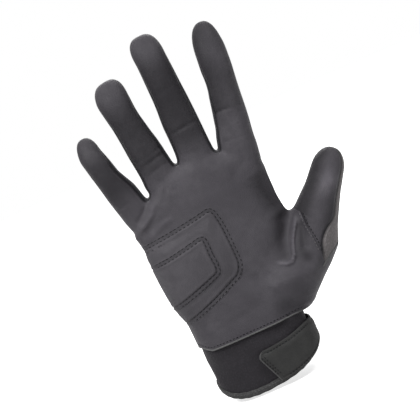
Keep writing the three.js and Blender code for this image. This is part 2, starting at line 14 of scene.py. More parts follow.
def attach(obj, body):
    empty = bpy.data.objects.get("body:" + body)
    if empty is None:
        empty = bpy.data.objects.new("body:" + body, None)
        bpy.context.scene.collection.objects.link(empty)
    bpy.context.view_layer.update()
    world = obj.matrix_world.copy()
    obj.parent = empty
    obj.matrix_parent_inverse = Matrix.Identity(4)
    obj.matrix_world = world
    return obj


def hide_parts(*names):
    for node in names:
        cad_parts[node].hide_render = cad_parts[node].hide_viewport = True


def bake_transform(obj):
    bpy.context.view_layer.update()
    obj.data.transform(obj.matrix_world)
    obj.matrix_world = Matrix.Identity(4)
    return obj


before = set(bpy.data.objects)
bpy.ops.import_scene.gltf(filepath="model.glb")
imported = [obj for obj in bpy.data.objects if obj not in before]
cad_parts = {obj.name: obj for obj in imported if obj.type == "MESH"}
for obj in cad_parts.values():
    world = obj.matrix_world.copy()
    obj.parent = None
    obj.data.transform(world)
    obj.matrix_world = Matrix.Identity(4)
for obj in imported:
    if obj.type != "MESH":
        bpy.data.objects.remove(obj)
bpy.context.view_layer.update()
scene = bpy.context.scene
MM = 0.001


# Camera

CAMERA_TARGET = Vector((6, -2, 118.7)) * MM
CAMERA_DISTANCE = 0.75
CAMERA_PITCH = math.radians(6)
CAMERA_ROLL = math.radians(24)
VIEW_WIDTH = 0.2646


def add_camera():
    """Looks at the palm from slightly above, rolled so that the glove leans to the left."""
    data = bpy.data.cameras.new("camera")
    data.sensor_width = 36
    data.lens = data.sensor_width * CAMERA_DISTANCE / VIEW_WIDTH
    camera = bpy.data.objects.new("camera", data)
    scene.collection.objects.link(camera)
    back = Vector((0, -math.cos(CAMERA_PITCH), math.sin(CAMERA_PITCH)))
    right = Vector((math.sin(CAMERA_ROLL), 0, math.cos(CAMERA_ROLL))).cross(back).normalized()
    up = back.cross(right)
    place = CAMERA_TARGET + back * CAMERA_DISTANCE
    camera.matrix_world = Matrix.Translation(place) @ Matrix((right, up, back)).transposed().to_4x4()
    scene.camera = camera


add_camera()


# Sizes, the same as the solids'

SEAM_HEIGHT = 37.0
KNUCKLE_HEIGHT = 153.3
KNUCKLE_X = 9.3
KNUCKLE_ARCH_RADIUS = 55.7
HEM_HALF_WIDTH = 35.4
WRIST_HALF_WIDTH = 36.0
WRIST_HALF_DEPTH = 22.0
PALM_LITTLE_SIDE = 45.8
PALM_THUMB_SIDE = 48.5
KNUCKLE_HALF_DEPTH = 11.4
THUMB_WEB = 5.0
LEATHER = 1.0

# Shares of the hand's height: the web's middle and reach, and where the thumb side is full width
WEB_MIDDLE_SHARE = 0.46
WEB_REACH_SHARE = 0.25
FULL_WIDTH_SHARE = 0.7
LITTLE_SIDE_POWER = 1.6

# How squarely the sections of the hand and of the digits are rounded, and the hand's closed top
HAND_POWER = 2.5
DIGIT_POWER = 2.27
HAND_CAP = 14.0
HAND_CAP_POWER = 2.6

# Each finger's x at the knuckle arch and its lean in degrees. Its reach runs from the arch to its tip, its
# root lies in the palm, its stub stays with the hand, and it bends again at its bend.
FINGERS = {
    "index": dict(x=39.8, lean=6.1, reach=84.2, root=28.6, width=19.6, depth=19.4, stub=12, bend=44),
    "middle": dict(x=11.7, lean=-0.9, reach=83.6, root=28.4, width=21, depth=20, stub=10, bend=43),
    "ring": dict(x=-13.8, lean=-7.8, reach=71.4, root=24.3, width=19.8, depth=19, stub=12, bend=38),
    "little": dict(x=-37.1, lean=-14, reach=59.2, root=20.1, width=16.2, depth=16.6, stub=14, bend=35),
}
THUMB = dict(x=64.5, y=-3, z=86.9, lean=36.5, pitch=8, twist=35, reach=46.6, root=56, width=29, depth=26,
             stub=3, bend=20)
# How far the left and the right side of each digit flare out at its fork
FLARES = {"index": (3, 0), "middle": (0.6, 0.6), "ring": (0.6, 0.6), "little": (0, 3), "thumb": (0, 0)}
FINGER_BOW_SHARE = 0.06
FINGER_BOW_POWER = 1.8

# The sides that carry a strip, the strip's half height, its share of that at the middle joint, how much it
# narrows up to there, and the share of the reach at which it ends
STRIPS = {"index": (-1,), "middle": (-1, 1), "ring": (-1, 1), "little": (1,), "thumb": ()}
STRIP_HALF_HEIGHT = 5.2
STRIP_JOINT_SHARE = 0.9
STRIP_NARROWING = 0.44
STRIP_END_SHARE = 0.9

# Share of a finger's reach, then how much wider its left and right sides are there than its stations say
SIDES = {
    "index": [(-0.3, 0, -0.4), (0, 0.4, -0.8), (0.07, 0.8, -1.1), (0.14, 0.9, -0.9), (0.21, 0.25, -0.4),
              (0.29, 0.3, -0.2), (0.43, 0, 0.1), (0.5, -0.7, 0.2), (0.57, -0.6, 0.3), (0.64, 0.2, 0.4),
              (0.78, 0.4, 0), (0.86, 0.2, -0.5), (1, 0.2, -0.3)],
    "middle": [(-0.2, 0, 0), (0, -0.6, -0.3), (0.07, -1.1, -0.3), (0.14, -0.8, 0), (0.22, -0.4, 0.2),
               (0.29, 0, 0.4), (0.36, -0.2, 0.6), (0.43, -0.5, 0.8), (0.5, -0.6, 0.7), (0.57, -0.4, 0.4),
               (0.65, -0.2, 0.2), (0.79, -0.1, -0.5), (0.86, 0.2, -0.3), (1, 0.4, 0)],
    "ring": [(-0.2, 0, 0), (0, 0.2, -0.1), (0.08, -0.4, -0.2), (0.17, -0.3, 0.3), (0.25, -0.1, 0.6),
             (0.34, 0, 0.6), (0.42, 0, 0.2), (0.59, 0, -0.1), (0.67, 0.3, 0.2), (0.76, 0.5, 0.8),
             (0.84, 0.9, 1), (1, 1, 1)],
    "little": [(-0.2, 0, 0), (0.1, 0, -0.3), (0.2, 0.2, 0.9), (0.3, 0.3, 1.6), (0.41, 0.1, 0.8),
               (0.51, -0.1, -0.1), (0.61, -0.1, 0.2), (0.71, -0.2, 0.2), (0.81, -0.3, -0.2),
               (0.9, -0.5, -0.1), (1, -0.5, 0)],
}
# How far each tip leans aside, past a share of the reach, how blunt its cap is and how much shorter it is
TIP_LEAN_SHARE = 0.76
TIPS = {"index": (-0.4, 2.3, 0), "middle": (-0.65, 2.9, 1), "ring": (1.2, 2.9, 1), "little": (1.3, 2.3, 0),
        "thumb": (0, 2.3, 0)}

# Share of the reach, or of the root below the arch, then half sizes on the left, right, front and back
FINGER_STATIONS = np.array([
    [-1, 0.8, 0.8, 0.86, 0.86], [-0.295, 1.1, 1.1, 1.04, 1.04], [0.04, 1.15, 1.15, 1.06, 1.08],
    [0.2, 1.09, 1.09, 1.04, 1.08], [0.42, 1.01, 1.01, 1, 1.02], [0.66, 0.97, 0.97, 0.96, 0.93],
    [0.84, 0.96, 0.96, 0.93, 0.82], [1, 0.93, 0.93, 0.88, 0.74],
])
# The same for the thumb, and last the share of its twist that is undone
THUMB_STATIONS = np.array([
    [-1, 2.1, 0.6, 1.4, 0.9, 1], [-0.89, 2.6, 0.8, 1.66, 1.2, 1], [-0.682, 2.6, 0.97, 1.66, 1.2, 0.95],
    [-0.457, 2.2, 1.18, 1.52, 1.14, 0.7], [-0.216, 1.5, 1.28, 1.24, 1.04, 0.3], [0, 1.14, 1.03, 1, 0.96, 0],
    [0.12, 0.98, 0.96, 0.96, 0.92, 0], [0.45, 0.78, 0.78, 0.84, 0.78, 0], [0.7, 0.7, 0.7, 0.77, 0.69, 0],
    [0.84, 0.67, 0.67, 0.73, 0.62, 0], [1, 0.62, 0.62, 0.68, 0.56, 0],
])
# The share of its reach at which a digit's round cap starts, and how far its closed root runs on
CAP_SHARES = {"finger": 0.78, "thumb": 0.72}
DIGIT_TAIL = 8.0
# A digit's half sizes are read at this step, past both of its ends, and softened over so many steps
READING_STEP = 0.5
READING_MARGIN = 10
SOFTENED_STEPS = 15

# The fillets where the fingers and the thumb meet the hand; the thumb's widens below a height
FINGER_FILLET = 3.5
THUMB_FILLET = 6.0
THUMB_FILLET_GROWTH = 8.0
THUMB_FILLET_HEIGHT = 72
THUMB_FILLET_FADE = 24


# The skin of the glove as one closed form: a field that is 0 on its surface and grows outwards

def eased(share):
    """0 to 1 along a smooth step: three squares less two cubes."""
    share = np.clip(share, 0, 1)
    return share * share * (3 - 2 * share)


def merged(one, other, reach):
    """The smaller of two fields, rounded where they differ by less than the reach."""
    share = np.clip(0.5 + 0.5 * (other - one) / reach, 0, 1)
    return other + (one - other) * share - reach * share * (1 - share)


def section_field(x, y, sizes, beyond, power, cap_power, cap_length):
    """Field of a rounded section with four half sizes, closed by a cap.

    The section's measure is the root of the sum of powers of x and y over their half sizes. The cap adds the
    same sum with how far a point lies beyond the cap's start. The excess over 1 is divided by its slope.
    """
    left, right, front, back = sizes
    across = np.where(x > 0, right, left)
    deep = np.where(y > 0, back, front)
    u = np.abs(x) / across + 1e-6
    v = np.abs(y) / deep + 1e-6
    round_ = (u ** power + v ** power) ** (1 / power)
    t = np.clip(beyond, 0, None) / cap_length
    whole = (round_ ** cap_power + t ** cap_power) ** (1 / cap_power)
    slope_x = round_ ** (1 - power) * u ** (power - 1) / across
    slope_y = round_ ** (1 - power) * v ** (power - 1) / deep
    turn = (round_ / whole) ** (cap_power - 1)
    slope_t = (t / whole) ** (cap_power - 1) / cap_length
    slope = np.sqrt((turn * slope_x) ** 2 + (turn * slope_y) ** 2 + slope_t ** 2)
    return (whole - 1) / np.maximum(slope, 1e-3)


def arch_drop(x):
    """How far the knuckle arch lies below its highest point."""
    return (x - KNUCKLE_X) ** 2 / (2 * KNUCKLE_ARCH_RADIUS)


def hand_sizes(level):
    """Half sizes of the hand at a level: it widens to the knuckles and thins from wrist to knuckles."""
    rise = np.clip((level - SEAM_HEIGHT) / (KNUCKLE_HEIGHT - SEAM_HEIGHT), 0, 1)
    wrist = HEM_HALF_WIDTH + (WRIST_HALF_WIDTH - HEM_HALF_WIDTH) * np.clip(level / SEAM_HEIGHT, 0, 1)
    web = THUMB_WEB * (1 - eased(np.abs(rise - WEB_MIDDLE_SHARE) / WEB_REACH_SHARE))
    left = wrist + (PALM_LITTLE_SIDE - WRIST_HALF_WIDTH) * rise ** LITTLE_SIDE_POWER
    right = wrist + (PALM_THUMB_SIDE - WRIST_HALF_WIDTH) * eased(rise / FULL_WIDTH_SHARE) + web
    depth = WRIST_HALF_DEPTH + (KNUCKLE_HALF_DEPTH - WRIST_HALF_DEPTH) * rise
    return left, right, depth, depth


def hand_level(points):
    """The level of the arched section that a point lies on, by Newton's steps from its height."""
    drop = arch_drop(points[:, 0])
    level = points[:, 2].copy()
    for _ in range(6):
        rise = np.clip((level - SEAM_HEIGHT) / (KNUCKLE_HEIGHT - SEAM_HEIGHT), 0, 1)
        slope = np.where((rise > 0) & (rise < 1), 2 * rise * drop / (KNUCKLE_HEIGHT - SEAM_HEIGHT), 0)
        level -= (level - rise ** 2 * drop - points[:, 2]) / np.maximum(1 - slope, 0.3)
    return level


def hand_field(points):
    """The field of the hand: its section at each point's level, closed at the knuckles."""
    level = hand_level(points)
    beyond = level - (KNUCKLE_HEIGHT - HAND_CAP)
    return section_field(points[:, 0], points[:, 1], hand_sizes(level), beyond, HAND_POWER, HAND_CAP_POWER,
                         HAND_CAP)


def turned(axis, degrees):
    """A turn about an axis as a matrix of three rows."""
    return np.array(Matrix.Rotation(math.radians(degrees), 3, axis))


def make_digit(name, sizes, stations):
    """A digit's frame and its half sizes at even steps along it, read between stations and softened."""
    digit = dict(sizes, name=name)
    if name == "thumb":
        leaned = turned("Y", sizes["lean"]) @ turned("X", sizes["pitch"])
        digit["turn"] = leaned @ turned("Z", -sizes["twist"])
        digit["at"] = np.array([sizes["x"], sizes["y"], sizes["z"]])
    else:
        digit["turn"] = turned("Y", sizes["lean"])
        digit["at"] = np.array([sizes["x"], 0, KNUCKLE_HEIGHT - arch_drop(sizes["x"])])
    share = stations[:, 0]
    places = np.where(share < 0, share * sizes["root"], share * sizes["reach"])
    along = np.arange(places[0] - READING_MARGIN, places[-1] + READING_MARGIN, READING_STEP)
    soften = np.hanning(SOFTENED_STEPS) / np.hanning(SOFTENED_STEPS).sum()
    halves = []
    for column, size in ((1, "width"), (2, "width"), (3, "depth"), (4, "depth")):
        raw = np.interp(along, places, stations[:, column] * sizes[size] / 2)
        if column < 3:
            fade = np.clip(1 - np.abs(along) / sizes["bend"], 0, 1) ** 2
            raw = raw + FLARES[name][column - 1] * fade
        if column < 3 and name in SIDES:
            table = np.array(SIDES[name])
            raw = raw + np.interp(along / sizes["reach"], table[:, 0], table[:, column], left=0)
        halves.append(np.convolve(np.pad(raw, SOFTENED_STEPS // 2, "edge"), soften, "valid"))
    digit["along"], digit["halves"] = along, halves
    untwist = stations[:, 5] if name == "thumb" else np.zeros(len(share))
    digit["untwist"] = np.interp(along, places, untwist) * math.radians(sizes.get("twist", 0))
    digit["tip_lean"], digit["cap_power"], shorter = TIPS[name]
    digit["end"] = sizes["reach"] - shorter
    digit["cap"] = sizes["reach"] * CAP_SHARES["thumb" if name == "thumb" else "finger"]
    return digit


DIGITS = {name: make_digit(name, sizes, FINGER_STATIONS) for name, sizes in FINGERS.items()}
DIGITS["thumb"] = make_digit("thumb", THUMB, THUMB_STATIONS)
# Regions of the skin: the two here, and the number of each digit beyond its start
HAND = -1
THUMB_ROOT = -2
REGIONS = {"hand": HAND, "thumb_root": THUMB_ROOT, **{name: number for number, name in enumerate(DIGITS)}}


def bow_at(digit, along):
    """How far a finger's middle line stands out to the palm side.

    A share of its reach times the square of a sine, which is highest past the finger's middle.
    """
    if digit["name"] == "thumb":
        return np.zeros_like(along)
    share = np.clip(along / digit["reach"], 0, 1)
    return FINGER_BOW_SHARE * digit["reach"] * np.sin(math.pi * share ** FINGER_BOW_POWER) ** 2


def digit_place(digit, points):
    """Where points lie on a digit: across it, towards its back and along it."""
    local = (points - digit["at"]) @ digit["turn"]
    local[:, 1] += bow_at(digit, local[:, 2])
    share = local[:, 2] / digit["reach"]
    local[:, 0] -= digit["tip_lean"] * eased((share - TIP_LEAN_SHARE) / (1 - TIP_LEAN_SHARE))
    angle = np.interp(local[:, 2], digit["along"], digit["untwist"])
    x = np.cos(angle) * local[:, 0] + np.sin(angle) * local[:, 1]
    y = np.cos(angle) * local[:, 1] - np.sin(angle) * local[:, 0]
    return x, y, local[:, 2]


def digit_field(digit, points):
    """The field of a digit: its section at each point's place along it, closed at its tip and at its root."""
    x, y, along = digit_place(digit, points)
    sizes = [np.interp(along, digit["along"], half) for half in digit["halves"]]
    cap = digit["end"] - digit["cap"]
    root = (DIGIT_TAIL - digit["root"] - along) / DIGIT_TAIL
    beyond = np.where(along > 0, (along - digit["cap"]) / cap, root)
    length = np.where(along > 0, cap, DIGIT_TAIL)
    return section_field(x, y, sizes, beyond * length, DIGIT_POWER, digit["cap_power"], length)


def all_fields(points):
    """The fields of the hand, the four fingers and the thumb, one row each."""
    return np.array([hand_field(points)] + [digit_field(digit, points) for digit in DIGITS.values()])


def plain_skin(points):
    """The hand and its fingers joined with small fillets, and the thumb with a wide one."""
    fields = all_fields(points)
    whole = fields[0]
    for row in (1, 2, 3, 4):
        whole = merged(whole, fields[row], FINGER_FILLET)
    widening = eased((THUMB_FILLET_HEIGHT - points[:, 2]) / THUMB_FILLET_FADE)
    return merged(whole, fields[5], THUMB_FILLET + THUMB_FILLET_GROWTH * widening)


# Folds and creases of the leather, as outward or inward shifts of the skin

def line_distance(points, line):
    """Distance in X and Z to a line of corner points, and the share of its length at the nearest place."""
    flat = points[:, [0, 2]]
    line = np.asarray(line, float)
    lengths = np.linalg.norm(np.diff(line, axis=0), axis=1)
    starts = np.concatenate([[0], np.cumsum(lengths)])
    best = np.full(len(flat), 1e9)
    share = np.zeros(len(flat))
    for number, (a, b) in enumerate(zip(line[:-1], line[1:])):
        t = np.clip((flat - a) @ (b - a) / lengths[number] ** 2, 0, 1)
        distance = np.linalg.norm(flat - a - t[:, None] * (b - a), axis=1)
        nearer = distance < best
        best = np.where(nearer, distance, best)
        share = np.where(nearer, (starts[number] + t * lengths[number]) / starts[-1], share)
    return best, share


# The ridge round the thumb's root and the hollow beside it, each with its line, its size and its half width
THUMB_FOLD = [(54.3, 95), (49.8, 88.4), (45.8, 82.2), (43.7, 77.4), (42.1, 72.7), (39.5, 70.4), (36.9, 69.9),
              (33.2, 71.5), (28.7, 74.2)]
FOLD_HEIGHT = 2.2
FOLD_HALF_WIDTH = 1.35
THUMB_HOLLOW = [(45.8, 94), (41.3, 84), (38.4, 75.5)]
HOLLOW_DEPTH = 3.4
HOLLOW_HALF_WIDTH = 5.5
# Each fold has its line in X and Z, its height and its half width
SOFT_FOLDS = [
    ([(-30, 52), (-27, 80), (-27, 112), (-30, 122)], 2.2, 17),
    ([(6, 58), (12, 82), (14, 110), (12, 128)], -1.2, 12),
    ([(22, 52), (34, 60), (46, 62)], 1.4, 9),
    ([(-34, 137), (-12, 146), (12, 149), (34, 143)], 0.8, 7),
    ([(42, 130), (43.5, 119), (45.5, 109), (47, 99)], -2.6, 7.5),
    ([(14, 60), (30, 62), (42, 61), (56, 58)], 1.2, 4.5),
    ([(7, 78), (11, 71), (20, 68)], -0.5, 3.5),
    ([(-24, 52), (-8, 54.5), (8, 55)], 0.25, 2.2),
    ([(16, 38), (34, 42), (46, 50)], -1.8, 7),
    ([(57, 92), (53, 82), (49, 71)], -1.5, 2.6),
    ([(-43, 124.5), (-35, 127.1), (-27.9, 132.2), (-24, 139)], 0.9, 1.9),
    ([(-38, 116.5), (-30.7, 120.4), (-22.7, 124), (-15, 125)], 0.6, 1.9),
    ([(-42, 119.5), (-33, 123.5), (-26, 128)], -0.5, 2.0),
    ([(-21, 133), (-15, 141), (-10, 145)], -0.5, 1.8),
    ([(-40, 129), (-34, 134), (-29, 138)], -0.5, 1.5),
    ([(-20, 50), (5, 54), (28, 61)], -0.5, 5.0),
    ([(50, 58), (56, 66), (61, 72)], 0.5, 2.5),
    ([(24, 128), (33, 137), (43, 141)], -0.35, 2.6),
]
# Creases across the fingers: distance along, depth and half width
FINGER_CREASES = {
    "index": [(27, 0.8, 1.4), (8, 0.3, 1.6), (46, 0.3, 2.2)],
    "middle": [(19.5, 0.75, 1.4), (4, 0.3, 1.8), (45, 0.25, 2.2)],
    "ring": [(13, 0.6, 1.3), (18, 0.45, 1.1), (7, 0.35, 1.3), (40, 0.25, 2.2)],
    "little": [(11, 0.35, 1.4), (36, 0.25, 2.0)],
}


# Middle lines of the heel pad's two double rows of stitches, open at the little-finger side
HEEL_LINE = [(-70, 109.5), (-41.1, 113.8), (-18.6, 116.8), (-2.5, 119.2), (4.6, 120.2), (7.6, 117.2),
             (9, 110.5), (9.6, 104), (9.9, 92), (9.5, 82.1), (5.6, 75.9), (-0.5, 73.1), (-11.8, 68.3),
             (-30.1, 61.4), (-70, 46)]
PATCH_LINE = [(-70, 97), (-37.7, 101), (-27, 102.5), (-12.6, 105.3), (-7.3, 106.2), (-4.8, 104),
              (-4.8, 94.7), (-4.3, 87.3), (-5.4, 82.9), (-10.3, 80.6), (-29.4, 74.1), (-70, 60)]
# How far the edges of the cover and of the patch lie outside those lines, and the foam's inside the cover's
HEEL_EDGE = 1.9
PATCH_EDGE = 1.7
FOAM_INSET = 7
# How many pieces a smooth line has between two of its points, and the step at which a slope is measured
LINE_PIECES = 8
SLOPE_STEP = 0.05


def smooth_line(line):
    """A line through the given points, each stretch a cubic with the slopes of its neighbours."""
    line = np.asarray(line, float)
    before, after = line[[0, *range(len(line) - 1)]], line[[*range(1, len(line)), -1]]
    slopes = (after - before) / 2
    t = np.linspace(0, 1, LINE_PIECES, endpoint=False)[None, :, None]
    a, b, c, d = line[:-1, None], slopes[:-1, None], line[1:, None], slopes[1:, None]
    points = a + b * t + (3 * (c - a) - 2 * b - d) * t ** 2 + (2 * (a - c) + b + d) * t ** 3
    return np.concatenate([points.reshape(-1, line.shape[1]), line[-1:]])


def inside_line(points, line):
    """Distance in X and Z to a line, above 0 inside it; its open ends lie far out past the little finger."""
    flat = points[:, [0, 2]]
    line = smooth_line(line)
    distance = line_distance(points, line)[0]
    inside = np.zeros(len(flat), bool)
    for a, b in zip(line, np.roll(line, -1, axis=0)):
        spans = (a[1] > flat[:, 1]) != (b[1] > flat[:, 1])
        rise = b[1] - a[1] if b[1] != a[1] else 1.0
        inside ^= spans & (flat[:, 0] < a[0] + (flat[:, 1] - a[1]) * (b[0] - a[0]) / rise)
    return np.where(inside, distance, -distance)


def heel_level(points):
    """Distance to the edge of the heel pad's cover, above 0 inside it."""
    return inside_line(points, HEEL_LINE) + HEEL_EDGE


def patch_level(points):
    """Distance to the edge of the patch on the cover, above 0 inside it."""
    return inside_line(points, PATCH_LINE) + PATCH_EDGE


def foam_level(points):
    """Distance to the edge of the foam under the cover, above 0 inside it."""
    return heel_level(points) - FOAM_INSET


def folds(points):
    """How far the leather stands out: the ridge and hollow at the thumb, soft folds, creases and broad waves.

    A fold is a bell curve across its line, eased to 0 at both ends of the line and at the hand's sides. A
    crease is a bell curve along a finger, uneven across it. The waves are sines of X times sines of Z.
    """
    front = eased((-points[:, 1] - 1.5) / 5)
    distance, share = line_distance(points, THUMB_FOLD)
    fade = eased(share * 5) * eased((1 - share) * 3)
    out = FOLD_HEIGHT * np.exp(-(distance / FOLD_HALF_WIDTH) ** 2) * fade
    distance, share = line_distance(points, THUMB_HOLLOW)
    out -= HOLLOW_DEPTH * np.exp(-(distance / HOLLOW_HALF_WIDTH) ** 2) * eased(1.4 - share)
    for line, height, half_width in SOFT_FOLDS:
        distance, share = line_distance(points, line)
        out += height * np.exp(-(distance / half_width) ** 2) * eased(share * 4) * eased((1 - share) * 4)
    out = out * front
    for name, creases in FINGER_CREASES.items():
        x, y, along = digit_place(DIGITS[name], points)
        inside = eased((DIGITS[name]["width"] * 0.62 - np.abs(x)) / 4) * eased((-y - 1) / 5)
        for place, depth, half_width in creases:
            wander = place + 0.8 * np.sin(x / 7 + place)
            uneven = 0.6 + 0.4 * np.sin(x / 3.6 + 2 * place)
            out -= depth * uneven * np.exp(-((along - wander) / half_width) ** 2) * inside
    x, y, z = points.T
    out += 0.22 * np.sin(x / 7.3 + 1.7 * np.sin(z / 19.0)) * np.sin(z / 11.0 + 1.1 * np.sin(x / 15.0 + 2))
    return out


def skin(points):
    """The field of the glove's skin with its folds."""
    return plain_skin(points) - folds(points)


def slope_of(field, points):
    """Slope of a field by differences to both sides."""
    slope = np.empty_like(points)
    for axis in range(3):
        shift = np.zeros(3)
        shift[axis] = SLOPE_STEP
        slope[:, axis] = (field(points + shift) - field(points - shift)) / (2 * SLOPE_STEP)
    return slope


def onto_skin(points, rounds=3):
    """Moves points along the slope until the skin's field is 0 there."""
    points = points.copy()
    for _ in range(rounds):
        slope = slope_of(skin, points)
        square = np.maximum((slope ** 2).sum(1), 0.05)
        move = slope * (skin(points) / square)[:, None]
        length = np.linalg.norm(move, axis=1, keepdims=True)
        points -= move * np.minimum(1, 2 / np.maximum(length, 1e-9))
    return points


def normals_at(points):
    """The way out of the skin, of length 1."""
    slope = slope_of(skin, points)
    return slope / np.linalg.norm(slope, axis=1, keepdims=True)


def net_of(field, low, high, step):
    """Triangles of a field's zero surface, by surface nets.

    Each cell of a grid that the surface crosses gets one point, the mean of the crossings on its edges, and
    each grid edge that the surface crosses gets a quad through the four cells round it.
    """
    axes = [np.arange(a, b + step, step) for a, b in zip(low, high)]
    grid = np.stack(np.meshgrid(*axes, indexing="ij"), -1)
    shape = grid.shape[:3]
    values = np.concatenate([field(slab.reshape(-1, 3)) for slab in grid]).reshape(shape)
    inside = values < 0
    corners = [np.array(c) for c in np.ndindex(2, 2, 2)]
    cells = tuple(n - 1 for n in shape)
    count = sum(inside[c[0]:c[0] + cells[0], c[1]:c[1] + cells[1], c[2]:c[2] + cells[2]].astype(np.int8)
                for c in corners)
    active = np.argwhere((count > 0) & (count < 8))
    number = np.full(cells, -1)
    number[tuple(active.T)] = np.arange(len(active))
    total = np.zeros((len(active), 3))
    crossings = np.zeros(len(active))
    for a in corners:
        for axis in range(3):
            if a[axis]:
                continue
            b = a.copy()
            b[axis] = 1
            one = values[tuple((active + a).T)]
            other = values[tuple((active + b).T)]
            cross = (one < 0) != (other < 0)
            t = np.where(cross, one / np.where(cross, one - other, 1), 0)
            total += np.where(cross[:, None], a + t[:, None] * (b - a), 0)
            crossings += cross
    points = np.array(low) + step * (active + total / crossings[:, None])
    triangles = []
    for axis in range(3):
        b, c = (axis + 1) % 3, (axis + 2) % 3
        ahead = np.eye(3, dtype=int)[axis]
        one = inside[tuple(slice(0, n - s) for n, s in zip(shape, ahead))]
        other = inside[tuple(slice(s, n) for n, s in zip(shape, ahead))]
        place = np.argwhere(one != other)
        place = place[(place[:, b] > 0) & (place[:, b] < cells[b])]
        place = place[(place[:, c] > 0) & (place[:, c] < cells[c])]
        step_b, step_c = np.eye(3, dtype=int)[b], np.eye(3, dtype=int)[c]
        around = (0 * step_b, step_b, step_b + step_c, step_c)
        quad = np.stack([number[tuple((place - shift).T)] for shift in around], 1)
        outward = one[tuple(place.T)]
        quad[~outward] = quad[~outward][:, ::-1]
        triangles += [quad[:, [0, 1, 2]], quad[:, [0, 2, 3]]]
    return points, np.concatenate(triangles)


# Borders between the panels, cut by moving the nearest points of the net onto each border line

def snap(points, edges, level, held, near=None):
    """Moves the nearer end of every edge that crosses level 0 onto it.

    It moves along the skin, and a point that an earlier border holds moves along that border.
    """
    value = level(points)
    a, b = edges.T
    cross = value[a] * value[b] < 0
    if near is not None:
        cross &= near[a] & near[b]
    picked = np.unique(np.where(np.abs(value[a]) < np.abs(value[b]), a, b)[cross])
    if not len(picked):
        return
    place = points[picked]
    for _ in range(3):
        way = slope_of(level, place)
        normal = normals_at(place)
        way -= normal * (way * normal).sum(1, keepdims=True)
        border = way / np.maximum(np.linalg.norm(way, axis=1, keepdims=True), 1e-6)
        way -= held[picked] * (way * held[picked]).sum(1, keepdims=True)
        square = np.maximum((way ** 2).sum(1), 0.02)
        place -= way * np.clip(level(place) / square, -1.5, 1.5)[:, None]
        place = onto_skin(place, 1)
    points[picked] = place
    fresh = np.linalg.norm(held[picked], axis=1) < 0.5
    held[picked[fresh]] = border[fresh]


# Where a finger's leather starts and stops bending round its base and round its middle joint, and where the
# thumb's does along it
BASE_BEND = (-5.0, 9.0)
MIDDLE_BEND = (-8.0, 9.0)
THUMB_BENDS = (3.5, 12.0, 13.0, 29.0)


def blend_range(name):
    """Where a digit's base starts and stops bending along it, and where its outer joint does."""
    if name == "thumb":
        return THUMB_BENDS
    base, middle = DIGITS[name]["stub"], DIGITS[name]["bend"]
    return base + BASE_BEND[0], base + BASE_BEND[1], middle + MIDDLE_BEND[0], middle + MIDDLE_BEND[1]


def middle_cut(name):
    """Where a digit's base and tip panels meet along it: half way through its outer joint's bend."""
    return sum(blend_range(name)[1:3]) / 2


def strip_half(name, across, along):
    """Half height of the side strip that faces a point of a digit; it narrows to a point near the tip."""
    digit = DIGITS[name]
    side = np.where(across > 0, 1, -1)
    there = np.isin(side, STRIPS[name])
    high = digit["reach"] * STRIP_END_SHARE
    upper = np.interp(along, [digit["bend"], high], [STRIP_HALF_HEIGHT * STRIP_JOINT_SHARE, 0])
    lower = STRIP_HALF_HEIGHT - STRIP_NARROWING * np.clip(along / digit["bend"], 0, 1)
    return np.where(there, np.where(along < digit["bend"], lower, upper), 0)


# The upright seam under the thumb's fork: its x, and how far it swings to the thumb side below a height
THUMB_SEAM_X = 57
THUMB_SEAM_SWING = 1.4
THUMB_SEAM_TOP = 88
THUMB_SEAM_FALL = 16
# The welt that climbs from the cuff's thumb side: the place of its lower end and its angle
WELT_X = 55.6
WELT_Z = 58.6
WELT_ANGLE = math.radians(31.5)
# The palm's lower edge: how far it lifts in front and at the little-finger side, and from where there
HEM_LIFT_FRONT = 2.2
HEM_LIFT_LITTLE = 4.6
HEM_LIFT_START = 27
HEM_LIFT_WIDTH = 10
# The part of the skin round the thumb's root, and the part round the heel pad
THUMB_ROOT_SIDE = 50
THUMB_ROOT_TOP = 100
HEEL_AREA_SIDE = 20
HEEL_AREA_TOP = 130


def seam_swing(z):
    """How far the upright seam under the thumb's fork swings to the thumb side, by height."""
    return THUMB_SEAM_SWING * eased((THUMB_SEAM_TOP - z) / THUMB_SEAM_FALL)


def thumb_seam(points):
    """Above 0 on the thumb's side of the upright seam under its fork."""
    return points[:, 0] - THUMB_SEAM_X - seam_swing(points[:, 2])


def welt_rise(points):
    """Above 0 over the welt that climbs from the cuff's thumb side."""
    return (points[:, 2] - WELT_Z) * math.cos(WELT_ANGLE) - (points[:, 0] - WELT_X) * math.sin(WELT_ANGLE)


def round_thumb_root(points):
    """True for points near the thumb's root."""
    return (points[:, 0] > THUMB_ROOT_SIDE) & (points[:, 2] < THUMB_ROOT_TOP)


def hem_lift(points):
    """How far the palm's lower edge lies over the wrist seam: more in front and past the little finger."""
    in_front = HEM_LIFT_FRONT * np.clip(-points[:, 1] / WRIST_HALF_DEPTH, 0, 1)
    return in_front + HEM_LIFT_LITTLE * eased((-points[:, 0] - HEM_LIFT_START) / HEM_LIFT_WIDTH)


def palm_hem(points):
    """Above 0 over the palm's lower edge."""
    return points[:, 2] - SEAM_HEIGHT - hem_lift(points)


def seam_turn(x, along):
    """How far the thumb's outer seam comes round to its front: a slope of y over x, steeper at its root."""
    return (0.25 + 1.1 * eased((8 - along) / 20)) * np.clip(x - 3, 0, None)


def side_levels(points, region):
    """How far points lie on the front side and on the back side of the seams, by region."""
    front = np.empty(len(points))
    back = np.empty(len(points))
    fields = all_fields(points)
    nearest = np.argmin(fields[1:5], axis=0)
    for number, name in enumerate(DIGITS):
        x, y, along = digit_place(DIGITS[name], points)
        half = strip_half(name, x, along)
        here = (region == number) | ((region == HAND) & (nearest == number))
        if name == "thumb":
            here = (region == number) | (region == THUMB_ROOT)
            y = y + seam_turn(x, along)
        front = np.where(here, -y - half, front)
        back = np.where(here, y - half, back)
    return front, back


